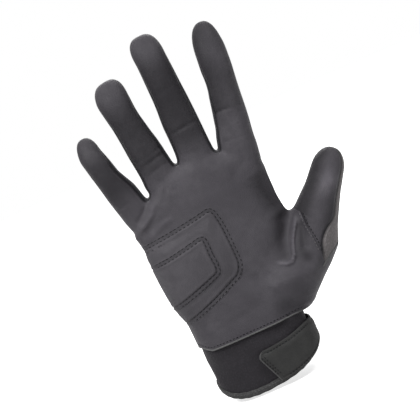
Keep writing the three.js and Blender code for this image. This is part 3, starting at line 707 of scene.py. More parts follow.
def region_of(points):
    """The region of each point: the hand, the thumb's root, or a digit beyond its start."""
    fields = all_fields(points)
    nearest = np.argmin(fields, axis=0) - 1
    region = np.full(len(points), HAND)
    region[(thumb_seam(points) > 0) & (welt_rise(points) > 0) & round_thumb_root(points)] = THUMB_ROOT
    for number, name in enumerate(DIGITS):
        along = digit_place(DIGITS[name], points)[2]
        region[(nearest == number) & (along > blend_range(name)[0])] = number
    return region


# Shares of each digit's reach between which painted shade on its leather rises and then turns to its tip's
# amount, how much painted shade lies between them and how much at its tip
PAINTED_SHAFT_SHADE = {
    "index": (0.27, 0.36, 0.5, 0.72, 0.42, 0.62),
    "middle": (-0.04, 0.22, 0.66, 0.9, 1.05, 0.2),
    "ring": (-0.04, 0.22, 0.62, 0.86, 1.0, 0.25),
    "little": (0.05, 0.4, 0.6, 0.86, 0.95, 0.55),
    "thumb": (2, 3, 4, 5, 0, 0),
}
# Lines in X and Z along which a painted highlight makes the palm paler, or painted shade makes it darker
# where the amount is below 0, and their half width
PAINTED_LIGHT_LINES = [
    (THUMB_FOLD, 1.25, 1.1),
    ([(44.6, 97), (39.9, 84.6), (37.2, 76), (36.2, 70)], -0.6, 3.6),
    ([(41, 126), (42.4, 115.4), (44.5, 107.7), (45.6, 101), (44.5, 93)], -0.9, 5.8),
    ([(56.5, 92), (52, 82), (48.5, 74), (49.5, 64)], -0.85, 3.8),
    ([(27, 74), (24, 70)], 0.3, 3.5),
    ([(-43, 124.5), (-35, 127.1), (-27.9, 132.2), (-24, 139)], 0.4, 1.7),
    ([(-38, 116.5), (-30.7, 120.4), (-22.7, 124), (-15, 125)], 0.25, 1.7),
    ([(-14, 146), (14, 132), (12, 112)], 0.12, 14),
]


def painted_light(points, region):
    """A factor on the leather's colour that paints light and shade: about 1 on the palm and the fingertips,
    with painted highlights and painted shade along lines on the palm, and lower where painted shade lies on
    each finger's shaft.

    The index finger has more painted shade on its left and less above its middle. The thumb stays near 1
    along a streak, with painted shade towards both of its sides and a painted highlight on its pad.
    """
    # The factor of painted light and shade starts at 1, then takes painted highlights and painted shade along
    # the palm's lines.
    worn = np.ones(len(points))
    for line, amount, half_width in PAINTED_LIGHT_LINES:
        distance, share = line_distance(points, line)
        worn += amount * np.exp(-(distance / half_width) ** 2) * eased(share * 6) * eased((1 - share) * 6)
    palm = worn - 1
    for number, (name, (low, lower, upper, high, most, tip)) in enumerate(PAINTED_SHAFT_SHADE.items()):
        x, _, along = digit_place(DIGITS[name], points)
        share = along / DIGITS[name]["reach"] + 0.02 * np.sin(x / 2.5 + number)
        ended = eased((share - upper) / (high - upper))
        shaft = most * eased((share - low) / (lower - low)) * (1 - ended) + tip * ended - palm
        # More painted shade on the index finger's left, and less above its middle.
        if name == "index":
            shaft += 0.5 * eased((2 - x) / 9) * eased((share - 0.1) / 0.2)
            shaft -= 0.4 * np.exp(-((share - 0.74) / 0.1) ** 2)
        if name == "thumb":
            # A painted highlight on the thumb's pad, and painted shade towards both of its sides.
            pad = np.exp(-((along - 28) / 8) ** 2 - ((x - 7) / 4) ** 2)
            streak = eased((np.abs(x - 6.5) - 1.5) / 8) * eased((share + 0.45) / 0.5)
            shaft = 1.15 * streak - 1.9 * pad - palm
        here = (region == number) | ((name == "thumb") & (region == THUMB_ROOT))
        worn = np.where(here, 1 - shaft, worn)
    return worn


# The greatest distance that counts, and how much is added at both thumb seams, so that they show softer
SEAM_FAR = 30.0
THUMB_SEAM_SOFTER = 1.0
WELT_SOFTER = 0.5


def seam_distance(points, region, side):
    """Distance along the skin to the nearest sewn border of a panel."""
    best = np.full(len(points), SEAM_FAR)
    normal = normals_at(points)

    def measured(level):
        way = slope_of(level, points)
        way -= normal * (way * normal).sum(1, keepdims=True)
        return np.abs(level(points)) / np.maximum(np.linalg.norm(way, axis=1), 0.25)

    if side != "back":
        best = np.minimum(best, measured(lambda p: side_levels(p, region)[0]))
    if side != "front":
        best = np.minimum(best, measured(lambda p: side_levels(p, region)[1]))
    near = (region < 0) & round_thumb_root(points)
    softer = np.minimum(best, THUMB_SEAM_SOFTER + measured(thumb_seam))
    best = np.where(near & (welt_rise(points) > -1), softer, best)
    softer = np.minimum(best, WELT_SOFTER + measured(welt_rise))
    return np.where(near & (thumb_seam(points) > -1), softer, best)


def edges_of(triangles):
    """The three edges of each triangle, in its own turn."""
    return np.concatenate([triangles[:, [0, 1]], triangles[:, [1, 2]], triangles[:, [2, 0]]])


# The skin's net: its step, and the box that it is made in
NET_STEP = 1.0
NET_LOW = (-62, -27, SEAM_HEIGHT - 4)
NET_HIGH = (100, 27, 242)


def make_skin():
    """Nets the skin, fits it, cuts it at its borders and drops what lies under the palm's edge."""
    points, triangles = net_of(plain_skin, NET_LOW, NET_HIGH, NET_STEP)
    points = onto_skin(points, 4)
    edges = np.unique(np.sort(edges_of(triangles), axis=1), axis=0)
    held = np.zeros_like(points)
    nearest = np.argmin(all_fields(points), axis=0) - 1
    snap(points, edges, palm_hem, held)
    for number, name in enumerate(DIGITS):
        near = nearest == number
        for place in (blend_range(name)[0], middle_cut(name)):
            snap(points, edges, lambda p: digit_place(DIGITS[name], p)[2] - place, held, near)
    corner = round_thumb_root(points)
    snap(points, edges, thumb_seam, held, corner & (welt_rise(points) > -1))
    snap(points, edges, welt_rise, held, corner & (thumb_seam(points) > -1))
    front = (points[:, 1] < 1) & (points[:, 0] < HEEL_AREA_SIDE) & (points[:, 2] < HEEL_AREA_TOP)
    snap(points, edges, heel_level, held, front)
    snap(points, edges, patch_level, held, front)
    centres = points[triangles].mean(axis=1)
    area = region_of(centres)
    for which in (0, 1):
        for number in range(THUMB_ROOT, len(DIGITS)):
            part = area == number
            own = np.zeros(len(points), bool)
            own[triangles[part].ravel()] = True
            own_edges = edges[own[edges].all(axis=1)]
            snap(points, own_edges, lambda p: side_levels(p, np.full(len(p), number))[which], held, own)
    centres = points[triangles].mean(axis=1)
    keep = palm_hem(centres) > 0
    return points, triangles[keep], centres[keep]


skin_points, skin_triangles, skin_centres = make_skin()
skin_region = region_of(skin_centres)


# Meshes

def new_piece(name, points, faces, material, normals=None):
    """A smooth mesh object from points in millimetres; triangles or quads may come as an array."""
    mesh = bpy.data.meshes.new(name)
    faces = faces if isinstance(faces, list) else faces.tolist()
    mesh.from_pydata((np.asarray(points) * MM).tolist(), [], faces)
    mesh.polygons.foreach_set("use_smooth", np.full(len(mesh.polygons), True))
    if normals is not None:
        mesh.normals_split_custom_set_from_vertices(np.asarray(normals).tolist())
    mesh.materials.append(material)
    piece = bpy.data.objects.new(name, mesh)
    scene.collection.objects.link(piece)
    return piece


def add_attribute(piece, name, values):
    """Gives both sheets of a piece the outer sheet's values, for its material to read."""
    values = np.concatenate([values, values])
    attribute = piece.data.attributes.new(name, "FLOAT", "POINT")
    attribute.data.foreach_set("value", np.asarray(values, np.float32))


def carry(piece, part):
    """A piece of the hand rides on it; a base or tip of a digit only has its place baked into its mesh."""
    if part == "hand":
        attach(piece, "hand")
        return
    if part == "base":
        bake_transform(piece)
    else:
        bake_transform(piece)


def rim_faces(triangles, count):
    """Quads along the open borders of triangles, from the outer sheet's border to the inner one's."""
    edges = edges_of(triangles)
    _, first, counts = np.unique(np.sort(edges, axis=1), axis=0, return_index=True, return_counts=True)
    border = edges[first[counts == 1]]
    return np.stack([border[:, 1], border[:, 0], border[:, 0] + count, border[:, 1] + count], 1)


def two_sheets(triangles, count):
    """Outer triangles, the same ones turned over on the inner sheet, and the rim between them."""
    rim = rim_faces(triangles, count)
    return np.concatenate([triangles, triangles[:, ::-1] + count]).tolist() + rim.tolist()


def used_of(triangles):
    """The points that triangles use, and the triangles in those points' own numbers."""
    used, flat = np.unique(triangles, return_inverse=True)
    return used, flat.reshape(-1, 3)


def add_panel(name, chosen, region, side, part, material, replaced):
    """A panel of the skin with its thickness: the outer sheet and an inner one turned the other way."""
    used, triangles = used_of(skin_triangles[chosen])
    outer = skin_points[used]
    normals = normals_at(outer)
    inner = outer - normals * LEATHER
    piece = new_piece(name, np.concatenate([outer, inner]), two_sheets(triangles, len(outer)), material,
                      np.concatenate([normals, -normals]))
    number = np.full(len(outer), REGIONS[region])
    # Palm-side panels carry painted light and shade as an attribute for their material.
    if side == "front":
        nearest = np.argmin(all_fields(outer)[1:5], axis=0)
        add_attribute(piece, "painted_light", painted_light(outer, np.where(number == HAND, nearest, number)))
    add_attribute(piece, "seam", seam_distance(outer, number, side))
    carry(piece, part)
    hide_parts(*replaced)


def finer(points, triangles):
    """Each triangle split in four through the middles of its edges."""
    edges, back = np.unique(np.sort(edges_of(triangles), axis=1), axis=0, return_inverse=True)
    middles = len(points) + back.reshape(3, -1)
    a, b, c = triangles.T
    ab, bc, ca = middles
    split = [np.stack(t, 1) for t in ((a, ab, ca), (ab, b, bc), (ca, bc, c), (ab, bc, ca))]
    return np.concatenate([points, points[edges].mean(axis=1)]), np.concatenate(split)


def add_pad(name, level, low, height, row, material, replaced):
    """A pad on the palm: the skin's triangles inside a level, one sheet raised by low and one by height.

    Its sewn rows run round it at the level given as its row.
    """
    on_palm = (skin_centres[:, 1] < 0) & (skin_centres[:, 0] < HEEL_AREA_SIDE) & (skin_region == HAND)
    used, triangles = used_of(skin_triangles[(level(skin_centres) > 0) & on_palm])
    points, triangles = finer(skin_points[used], triangles)
    normals = normals_at(points)
    outer = points + normals * height(points)[:, None]
    inner = points + normals * low(points)[:, None]
    piece = new_piece(name, np.concatenate([outer, inner]), two_sheets(triangles, len(outer)), material)
    add_attribute(piece, "seam", np.abs(level(points) - row))
    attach(piece, "hand")
    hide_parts(*replaced)
    return piece


# Materials: shared effects are node groups, and each material has its own shader

def add_node(tree, kind, inputs=(), **settings):
    """A node with its settings, its inputs set from values or linked from sockets."""
    made = tree.nodes.new(kind)
    for key, value in settings.items():
        setattr(made, key, value)
    for key, value in dict(inputs).items():
        if isinstance(value, bpy.types.NodeSocket):
            tree.links.new(value, made.inputs[key])
        else:
            made.inputs[key].default_value = value
    return made


def new_group(name, inputs, outputs):
    """An empty shader group with named float or colour sockets; a default of four numbers makes a colour."""
    tree = bpy.data.node_groups.new(name, "ShaderNodeTree")
    for label, default in inputs.items():
        kind = "NodeSocketColor" if isinstance(default, tuple) else "NodeSocketFloat"
        tree.interface.new_socket(label, in_out="INPUT", socket_type=kind).default_value = default
    for label, kind in outputs.items():
        tree.interface.new_socket(label, in_out="OUTPUT", socket_type=kind)
    return tree, tree.nodes.new("NodeGroupInput").outputs, tree.nodes.new("NodeGroupOutput").inputs


def math_node(tree, operation, one, other=0.0, third=None):
    """The result of an operation on two or three values."""
    inputs = {0: one, 1: other}
    if third is not None:
        inputs[2] = third
    return add_node(tree, "ShaderNodeMath", inputs, operation=operation).outputs[0]


def blend_colours(tree, factor, one, other, how="MIX"):
    """One colour turned into another by a factor."""
    made = add_node(tree, "ShaderNodeMix", {0: factor, 6: one, 7: other}, data_type="RGBA", blend_type=how)
    return made.outputs[2]


def stepped(tree, value, low, high, out_low=0.0, out_high=1.0):
    """A value eased from one range to another."""
    made = add_node(tree, "ShaderNodeMapRange", {0: value, 1: low, 2: high, 3: out_low, 4: out_high},
                    interpolation_type="SMOOTHSTEP")
    return made.outputs[0]


def noise(tree, place, scale, detail):
    """Noise by place, with its scale per metre."""
    made = add_node(tree, "ShaderNodeTexNoise", {"Vector": place, "Scale": scale, "Detail": detail})
    return made.outputs[0]


# Scales of the noises and cells per metre
LEATHER_SCALES = {"mottling": 34, "creases": 210, "grain": 1500, "pores": 950}
KNIT_SCALES = {"loops": 900, "fuzz": 900, "mottling": 40}
# Strengths of bumps and their depths in metres, and the colour in a seam's groove
SEAM_BUMP = 0.8
SEAM_DEPTH = 0.0007
GRAIN_DEPTH = 0.0004
KNIT_BUMP = 0.35
KNIT_DEPTH = 0.0003
SEAM_SHADE = (0.004, 0.004, 0.005, 1)


def make_leather_grain():
    """Leather: broad mottling, fine creases and pores, all on object coordinates."""
    tree, given, out = new_group(
        "leather_grain",
        {"Colour": (0.05, 0.05, 0.05, 1), "Deep": (0.03, 0.03, 0.03, 1), "Roughness": 0.5},
        {"Colour": "NodeSocketColor", "Roughness": "NodeSocketFloat", "Height": "NodeSocketFloat"},
    )
    place = add_node(tree, "ShaderNodeTexCoord").outputs["Object"]
    broad = noise(tree, place, LEATHER_SCALES["mottling"], 3)
    middle = noise(tree, place, LEATHER_SCALES["creases"], 4)
    fine = noise(tree, place, LEATHER_SCALES["grain"], 3)
    inputs = {"Vector": place, "Scale": LEATHER_SCALES["pores"]}
    pores = add_node(tree, "ShaderNodeTexVoronoi", inputs, feature="DISTANCE_TO_EDGE")
    cells = stepped(tree, pores.outputs["Distance"], 0.0, 0.18)
    colour = blend_colours(tree, stepped(tree, broad, 0.3, 0.72), given["Deep"], given["Colour"])
    mottled = blend_colours(tree, stepped(tree, middle, 0.35, 0.7, 0, 0.55), colour, given["Deep"])
    seen = blend_colours(tree, stepped(tree, cells, 0, 1, 0.35, 0), mottled, given["Deep"])
    tree.links.new(seen, out["Colour"])
    smoother = math_node(tree, "SUBTRACT", given["Roughness"], 0.08)
    rough = math_node(tree, "MULTIPLY_ADD", middle, 0.16, smoother)
    tree.links.new(rough, out["Roughness"])
    height = math_node(tree, "MULTIPLY_ADD", cells, 0.35, math_node(tree, "MULTIPLY", fine, 0.3))
    tree.links.new(math_node(tree, "MULTIPLY_ADD", middle, 1.6, height), out["Height"])
    return tree


def make_sewn_edge():
    """What a seam does to the panel beside it: a groove at 0 mm, darkened both as the seam's dark joint and
    as painted shade in the groove, and a puffed ridge behind it.
    """
    tree, given, out = new_group(
        "sewn_edge",
        {"Distance": 10.0, "Colour": (0.05, 0.05, 0.05, 1), "Dark": 0.6},
        {"Colour": "NodeSocketColor", "Height": "NodeSocketFloat"},
    )
    groove = stepped(tree, given["Distance"], 0.25, 1.5, 1, 0)
    ridge_in = stepped(tree, given["Distance"], 1.0, 2.0)
    ridge_out = stepped(tree, given["Distance"], 2.0, 4.2, 1, 0)
    ridge = math_node(tree, "MULTIPLY", ridge_in, ridge_out)
    shade = math_node(tree, "MULTIPLY", groove, given["Dark"])
    tree.links.new(blend_colours(tree, shade, given["Colour"], SEAM_SHADE), out["Colour"])
    raised = math_node(tree, "MULTIPLY", ridge, 0.35)
    tree.links.new(math_node(tree, "SUBTRACT", raised, groove), out["Height"])
    return tree


def make_knit():
    """Fine stretch cloth: small loops, longer along Z than across it, with a little fuzz."""
    tree, given, out = new_group(
        "fine_knit",
        {"Colour": (0.1, 0.1, 0.1, 1), "Deep": (0.05, 0.05, 0.05, 1), "Scale": 1.0},
        {"Colour": "NodeSocketColor", "Height": "NodeSocketFloat"},
    )
    place = add_node(tree, "ShaderNodeTexCoord").outputs["Object"]
    scaled = add_node(tree, "ShaderNodeVectorMath", {0: place, 3: given["Scale"]}, operation="SCALE")
    inputs = {0: scaled.outputs[0], 1: (1, 1, 0.6)}
    drawn = add_node(tree, "ShaderNodeVectorMath", inputs, operation="MULTIPLY")
    inputs = {"Vector": drawn.outputs[0], "Scale": KNIT_SCALES["loops"], "Randomness": 0.6}
    loops = add_node(tree, "ShaderNodeTexVoronoi", inputs)
    fuzz = noise(tree, place, KNIT_SCALES["fuzz"], 4)
    broad = noise(tree, place, KNIT_SCALES["mottling"], 3)
    weave = stepped(tree, loops.outputs["Distance"], 0.1, 0.65, 1, 0)
    mixed = math_node(tree, "MULTIPLY_ADD", broad, 0.5, math_node(tree, "MULTIPLY", weave, 0.6))
    tree.links.new(blend_colours(tree, mixed, given["Deep"], given["Colour"]), out["Colour"])
    tree.links.new(math_node(tree, "MULTIPLY_ADD", fuzz, 0.4, weave), out["Height"])
    return tree


LEATHER_GRAIN = make_leather_grain()
SEWN_EDGE = make_sewn_edge()
FINE_KNIT = make_knit()


def shader_of(name, roughness, **constants):
    """A material with its Principled shader; constants are set on the shader's own sockets."""
    material = bpy.data.materials.new(name)
    material.use_nodes = True
    shader = material.node_tree.nodes["Principled BSDF"]
    shader.inputs["Roughness"].default_value = roughness
    for key, value in constants.items():
        shader.inputs[key.replace("_", " ")].default_value = value
    return material, material.node_tree, shader


def use_group(tree, group, inputs):
    """The outputs of a shared effect placed in a material."""
    return add_node(tree, "ShaderNodeGroup", inputs, node_tree=group).outputs


def finish_bump(tree, shader, heights):
    """Bumps chained into the shader's normal: each is a height, its strength and its distance in metres."""
    normal = None
    for height, strength, distance in heights:
        inputs = {"Height": height, "Strength": strength, "Distance": distance}
        if normal is not None:
            inputs["Normal"] = normal
        normal = add_node(tree, "ShaderNodeBump", inputs).outputs[0]
    tree.links.new(normal, shader.inputs["Normal"])


def sewn_beside(tree, shown, seam_dark, bumps):
    """The colour beside a panel's seams, by its distance to the nearest; their relief is added to bumps."""
    distance = add_node(tree, "ShaderNodeAttribute", attribute_name="seam").outputs["Fac"]
    edge = use_group(tree, SEWN_EDGE, {"Distance": distance, "Colour": shown, "Dark": seam_dark})
    bumps.insert(0, (edge["Height"], SEAM_BUMP, SEAM_DEPTH))
    return edge["Colour"]


def leather(name, colour, deep, roughness, seam_dark=0.0, grain=0.35, darkest_painted_shade=1.0):
    """Leather; it darkens beside seams where it has any, and its colour is multiplied by the painted light
    and shade that its panel carries.
    """
    material, tree, shader = shader_of(name, roughness, Specular_IOR_Level=0.08)
    inputs = {"Colour": (*colour, 1), "Deep": (*deep, 1), "Roughness": roughness}
    grained = use_group(tree, LEATHER_GRAIN, inputs)
    bumps = [(grained["Height"], grain, GRAIN_DEPTH)]
    shown = grained["Colour"]
    # Painted light and shade: the panel's attribute scales the colour from the darkest given level up to 1,
    # and past 1 for painted highlights.
    if darkest_painted_shade < 1:
        worn = add_node(tree, "ShaderNodeAttribute", attribute_name="painted_light").outputs["Fac"]
        level = math_node(tree, "MULTIPLY_ADD", worn, 1 - darkest_painted_shade, darkest_painted_shade)
        shown = blend_colours(tree, 1.0, shown, level, "MULTIPLY")
    if seam_dark:
        shown = sewn_beside(tree, shown, seam_dark, bumps)
    tree.links.new(shown, shader.inputs["Base Color"])
    tree.links.new(grained["Roughness"], shader.inputs["Roughness"])
    finish_bump(tree, shader, bumps)
    return material


def knit(name, colour, deep, scale=1.0, seam_dark=0.0, sheen=0.25):
    """Stretch cloth; it darkens beside seams where it has any."""
    constants = dict(Specular_IOR_Level=0.2, Sheen_Weight=sheen, Sheen_Roughness=0.4)
    material, tree, shader = shader_of(name, 0.85, **constants)
    cloth = use_group(tree, FINE_KNIT, {"Colour": (*colour, 1), "Deep": (*deep, 1), "Scale": scale})
    bumps = [(cloth["Height"], KNIT_BUMP, KNIT_DEPTH)]
    shown = cloth["Colour"]
    if seam_dark:
        shown = sewn_beside(tree, shown, seam_dark, bumps)
    tree.links.new(shown, shader.inputs["Base Color"])
    finish_bump(tree, shader, bumps)
    return material


# The palm leather takes painted light and shade down to half its colour.
PALM_LEATHER = leather("palm_leather", (0.056, 0.0528, 0.059), (0.0385, 0.036, 0.041), 0.5, seam_dark=0.75,
                       grain=0.5, darkest_painted_shade=0.5)
STRIP_LEATHER = leather("strip_leather", (0.036, 0.035, 0.039), (0.026, 0.025, 0.028), 0.6, seam_dark=0.6)
PAD_LEATHER = leather("pad_leather", (0.06, 0.0567, 0.063), (0.043, 0.0405, 0.0453), 0.5, seam_dark=0.2,
                      grain=0.5)
STRAP_LEATHER = leather("strap_leather", (0.03, 0.03, 0.0295), (0.022, 0.022, 0.022), 0.62, grain=0.5)
BACK_KNIT = knit("back_knit", (0.135, 0.125, 0.127), (0.078, 0.072, 0.073), seam_dark=0.6, sheen=0.1)
CUFF_KNIT = knit("cuff_knit", (0.017, 0.0152, 0.0184), (0.0095, 0.0085, 0.0103), sheen=0.05)
THREAD = leather("sewing_thread", (0.009, 0.009, 0.01), (0.006, 0.006, 0.007), 0.6, grain=0.1)
PALE_THREAD = leather("pale_thread", (0.09, 0.087, 0.092), (0.065, 0.063, 0.067), 0.6, grain=0.1)
STRAP_EDGE = leather("strap_edge", (0.07, 0.07, 0.07), (0.05, 0.05, 0.05), 0.55, grain=0.3)
PALE_EDGE = leather("pale_edge", (0.1, 0.1, 0.1), (0.07, 0.07, 0.07), 0.55, grain=0.3)
FOAM = leather("foam", (0.1, 0.1, 0.1), (0.07, 0.07, 0.07), 0.9)
LOOP_PILE = knit("loop_pile", (0.02, 0.02, 0.022), (0.01, 0.01, 0.011), sheen=0.3)
HOOK_TAPE = knit("hook_tape", (0.022, 0.022, 0.024), (0.01, 0.01, 0.011), scale=2.0, sheen=0.1)
BINDING_TAPE = knit("binding_tape", (0.05, 0.05, 0.05), (0.022, 0.022, 0.022), scale=0.8, sheen=0.1)


# Panels of the skin

# X of the borders between the three forks
FORK_BORDERS = {"ring_little": (-60, -14), "middle_ring": (-14, 11), "index_middle": (11, 60)}


def add_panels():
    """The skin's triangles sorted into panels: each region has a front, a back and strips between them."""
    one, other = side_levels(skin_centres, skin_region)
    front, back = one > 0, other > 0
    strip = ~front & ~back
    hand = skin_region == HAND
    root = skin_region == THUMB_ROOT
    looks = {"front": (front, "palm_leather", PALM_LEATHER), "back": (back, "back_fabric", BACK_KNIT)}
    add_panel("palm_skin", hand & front, "hand", "front", "hand", PALM_LEATHER, ["palm"])
    add_panel("back_skin", hand & back, "hand", "back", "hand", BACK_KNIT, ["hand_back"])
    for side, (mask, slot, material) in looks.items():
        add_panel(f"thumb_root_{side}_skin", root & mask, "thumb_root", side, "hand", material,
                  [f"thumb_root_{side}"])
    x = skin_centres[:, 0]
    for name, (low, high) in FORK_BORDERS.items():
        chosen = hand & strip & (x > low) & (x <= high)
        add_panel(f"fork_{name}_skin", chosen, "hand", "strip", "hand", STRIP_LEATHER,
                  [f"fork_{name}"])
    for number, name in enumerate(DIGITS):
        across, _, along = digit_place(DIGITS[name], skin_centres)
        middle = middle_cut(name)
        for part, node_part, chosen in (("base", "lower", along < middle), ("tip", "upper", along >= middle)):
            own = (skin_region == number) & chosen
            for side, (mask, slot, material) in looks.items():
                add_panel(f"{name}_{part}_{side}_skin", own & mask, name, side, part, material,
                          [f"{name}_{node_part}_{side}"])
            for way in STRIPS[name]:
                label = "thumb_side" if way > 0 else "outer_side"
                facing = across > 0 if way > 0 else across <= 0
                add_panel(f"{name}_{part}_{label}_strip", own & strip & facing, name, "strip", part,
                          STRIP_LEATHER, [f"{name}_{node_part}_strip_{label}"])


add_panels()


# Heel pad: a puffed cover over foam, with a second patch sewn on it

# Half the distance between the two sewn rows of the cover and of the patch, and their pitch
HALF_ROW_GAP = 1.0
HEEL_PITCH = 2.9


def row_groove(distance, place, depth=0.55, half_width=0.7):
    """The groove that a row of stitches draws: a bell curve of the distance to it."""
    return depth * np.exp(-((distance - place) / half_width) ** 2)


def rolled(distance, width):
    """0 at a cut edge, rising to 1 along a quarter circle."""
    t = np.clip(distance / width, 0, 1)
    return np.sqrt(1 - (1 - t) ** 2)


def side_fade(points):
    """1 on the palm, falling to 0 at the seam on the little-finger side."""
    return eased((-points[:, 1] - 0.2) / 5)


def cover_height(points):
    """Rolled edge, two sewn rows 2 mm apart, and a soft crown over the foam."""
    d = heel_level(points)
    inner = patch_level(points)
    crown = 1.1 * eased((d - 4) / 9)
    rows = row_groove(d, HEEL_EDGE - HALF_ROW_GAP) + row_groove(d, HEEL_EDGE + HALF_ROW_GAP)
    under = 0.25 * np.exp(-((inner + 1.2) / 1.2) ** 2)
    waves = 0.12 * np.sin(points[:, 0] / 3.1 + points[:, 2] / 6.0) * np.sin(points[:, 2] / 4.3)
    raised = 0.95 * rolled(d, 0.9) + crown - rows - under + waves * eased(d / 4) - 0.15
    return raised * (0.15 + 0.85 * side_fade(points))


def patch_height(points):
    """The cover's own height, a thin rolled edge, two sewn rows and a low crown."""
    d = patch_level(points)
    rows = row_groove(d, PATCH_EDGE - HALF_ROW_GAP) + row_groove(d, PATCH_EDGE + HALF_ROW_GAP)
    raised = 0.6 * rolled(d, 0.8) + 0.4 * eased((d - 3) / 8) - rows
    return cover_height(points) + raised * side_fade(points)


def add_heel_pad():
    """The foam, the cover over it and the patch, each between a low and a high sheet over the palm."""
    body = add_pad("heel_foam_body", foam_level, lambda p: np.full(len(p), 0.05),
                   lambda p: 0.05 + 0.8 * eased(foam_level(p) / 4) * side_fade(p), 0,
                   FOAM, ["heel_foam"])
    cover = add_pad("heel_cover_skin", heel_level,
                    lambda p: cover_height(p) - 0.9 * rolled(heel_level(p), 1.5), cover_height, HEEL_EDGE,
                    PAD_LEATHER, ["heel_cover"])
    patch = add_pad("heel_patch_skin", patch_level, lambda p: cover_height(p) + 0.02, patch_height,
                    PATCH_EDGE, PAD_LEATHER, ["heel_patch"])


add_heel_pad()


# Wrist: cuff, hem binding, strap and the patches that hold it

TURN = 2 * math.pi
WRIST_POWER = 0.8
# Half the gaps in the cuff as angles, at its sewn side and at its slit, and how far its tongue reaches
SEAM_ANGLE = 0.00002
SLIT_ANGLE = 0.004
TONGUE_ANGLE = 0.12
# Offsets from the wrist's surface to both faces of the cuff and of its tongue, and the height of its top
CUFF_OUTER = -1.5
CUFF_INNER = -3
TONGUE_OUTER = -3.15
TONGUE_INNER = -3.8
CUFF_TOP = 45
TONGUE_TOP = 44
CUFF_SIDES = {"front": (math.pi + SEAM_ANGLE, TURN - SLIT_ANGLE), "back": (SLIT_ANGLE, math.pi - SEAM_ANGLE)}
# The hem's lowest height, how much higher it lies behind, its tilt up to the thumb side, and the share of
# its rise that it has at a share of the wrist's depth
HEM_LOW = 2.4
HEM_DIP = 13.5
HEM_TILT = math.radians(5)
HEM_RISE = np.array([(-1, 0), (-0.8, 0.22), (-0.45, 0.62), (0, 1)])
# Levels at which the wrist's X and Y stand for those of the hem and of the strap
HEM_LEVEL = 10.0
STRAP_LEVEL = 15.0
# The strap's height over the hem, its offset from the wrist, its thickness and how wide its edges are rolled
STRAP_LIFT = 0.7
STRAP_BED = 0.8
STRAP_THICKNESS = 1.2
STRAP_ROLL = 0.7
# How far inside the strap's edges its rows of stitches run, and their pitch
ROW_INSET = 1.9
STRAP_PITCH = 2.2
# X where the rows along the strap end, and where it is sewn to the cuff behind the thumb side
STRAP_ROW_END = 33
SEWN_END_X = 12.0
# Offset and height of each point of the binding's outline, once round its section
BINDING_PROFILE = np.array([
    (-1.3, 3.15), (-0.85, 3.3), (-0.5, 3.0), (-0.38, 2.2), (-0.34, 1.0), (-0.42, 0), (-0.75, -0.65),
    (-1.35, -1.02), (-2.25, -1.12), (-3.15, -1.02), (-3.75, -0.65), (-4.08, 0), (-4.14, 1.0), (-4.1, 2.2),
    (-4.0, 3.0), (-3.65, 3.3), (-3.2, 3.15), (-3.2, 0.2), (-2.9, -0.15), (-1.6, -0.15), (-1.3, 0.2),
])


def wrist_point(angle, height, offset):
    """A point round the wrist: cosine and sine, each to the same power, times the wrist's half sizes."""
    angle, height, offset = np.broadcast_arrays(angle, height, offset)
    c, s = np.cos(angle), np.sin(angle)
    half = hand_sizes(np.minimum(height, SEAM_HEIGHT))[1]
    x = np.sign(c) * np.abs(c) ** WRIST_POWER * (half + offset)
    y = np.sign(s) * np.abs(s) ** WRIST_POWER * (WRIST_HALF_DEPTH + offset)
    return np.stack([x, y, height], -1)


def angle_at(x, front=True):
    """The angle of a place on the wrist by its x."""
    c = np.clip(x / WRIST_HALF_WIDTH, -1, 1)
    turn = np.arccos(np.sign(c) * np.abs(c) ** (1 / WRIST_POWER))
    return TURN - turn if front else turn


def hem_height(angle, lift=0.0):
    """Height of the hem round the wrist: low in front, level behind, and tilted up to the thumb side."""
    x, y, _ = np.moveaxis(wrist_point(angle, HEM_LEVEL, CUFF_OUTER), -1, 0)
    share = np.interp(y / WRIST_HALF_DEPTH, HEM_RISE[:, 0], HEM_RISE[:, 1])
    return (HEM_LOW + HEM_DIP * share + lift) / math.cos(HEM_TILT) + x * math.tan(HEM_TILT)


def circle(sides):
    """Even angles once round."""
    return np.linspace(0, TURN, sides, endpoint=False)


def crowded(count):
    """Places from 0 to 1 that crowd together at both ends, as a sine's do."""
    return (np.sin((np.linspace(0, 1, count) - 0.5) * math.pi) + 1) / 2


def grid_quads(rows, columns):
    """Quads between the rows and columns of a grid of points."""
    n = np.arange(rows * columns).reshape(rows, columns)
    return np.stack([n[:-1, :-1], n[:-1, 1:], n[1:, 1:], n[1:, :-1]], -1).reshape(-1, 4)


def ring_quads(count, sides):
    """Quads between closed rings of points, one ring after the other."""
    n = np.arange(count * sides).reshape(count, sides)
    return np.stack([n[:-1], np.roll(n[:-1], -1, 1), np.roll(n[1:], -1, 1), n[1:]], -1).reshape(-1, 4)


def volume_of(points, faces):
    """Six times the volume under triangles or quads: the sum of their corners' triple products."""
    triangles = faces[:, :3]
    if faces.shape[1] == 4:
        triangles = np.concatenate([triangles, faces[:, [0, 2, 3]]])
    a, b, c = (points[triangles[:, corner]] for corner in range(3))
    return (a * np.cross(b, c)).sum()


def turned_out(points, faces):
    """The faces, turned over if they enclose a negative volume."""
    return faces if volume_of(points, faces) > 0 else faces[:, ::-1]


def shell(name, outer, inner, material, sharp=50):
    """A closed sheet between two grids of points, with its rim along all four sides.

    Edges that turn by more than sharp degrees stay sharp.
    """
    rows, columns = outer.shape[:2]
    count = rows * columns
    n = np.arange(count).reshape(rows, columns)
    quads = grid_quads(rows, columns)
    ring = np.concatenate([n[0, :-1], n[:-1, -1], n[-1, :0:-1], n[:0:-1, 0]])
    following = np.roll(ring, -1)
    rim = np.stack([following, ring, ring + count, following + count], 1)
    points = np.concatenate([outer.reshape(-1, 3), inner.reshape(-1, 3)])
    faces = turned_out(points, np.concatenate([quads, quads[:, ::-1] + count, rim]))
    piece = new_piece(name, points, faces, material)
    piece.data.set_sharp_from_angle(angle=math.radians(sharp))
    return piece


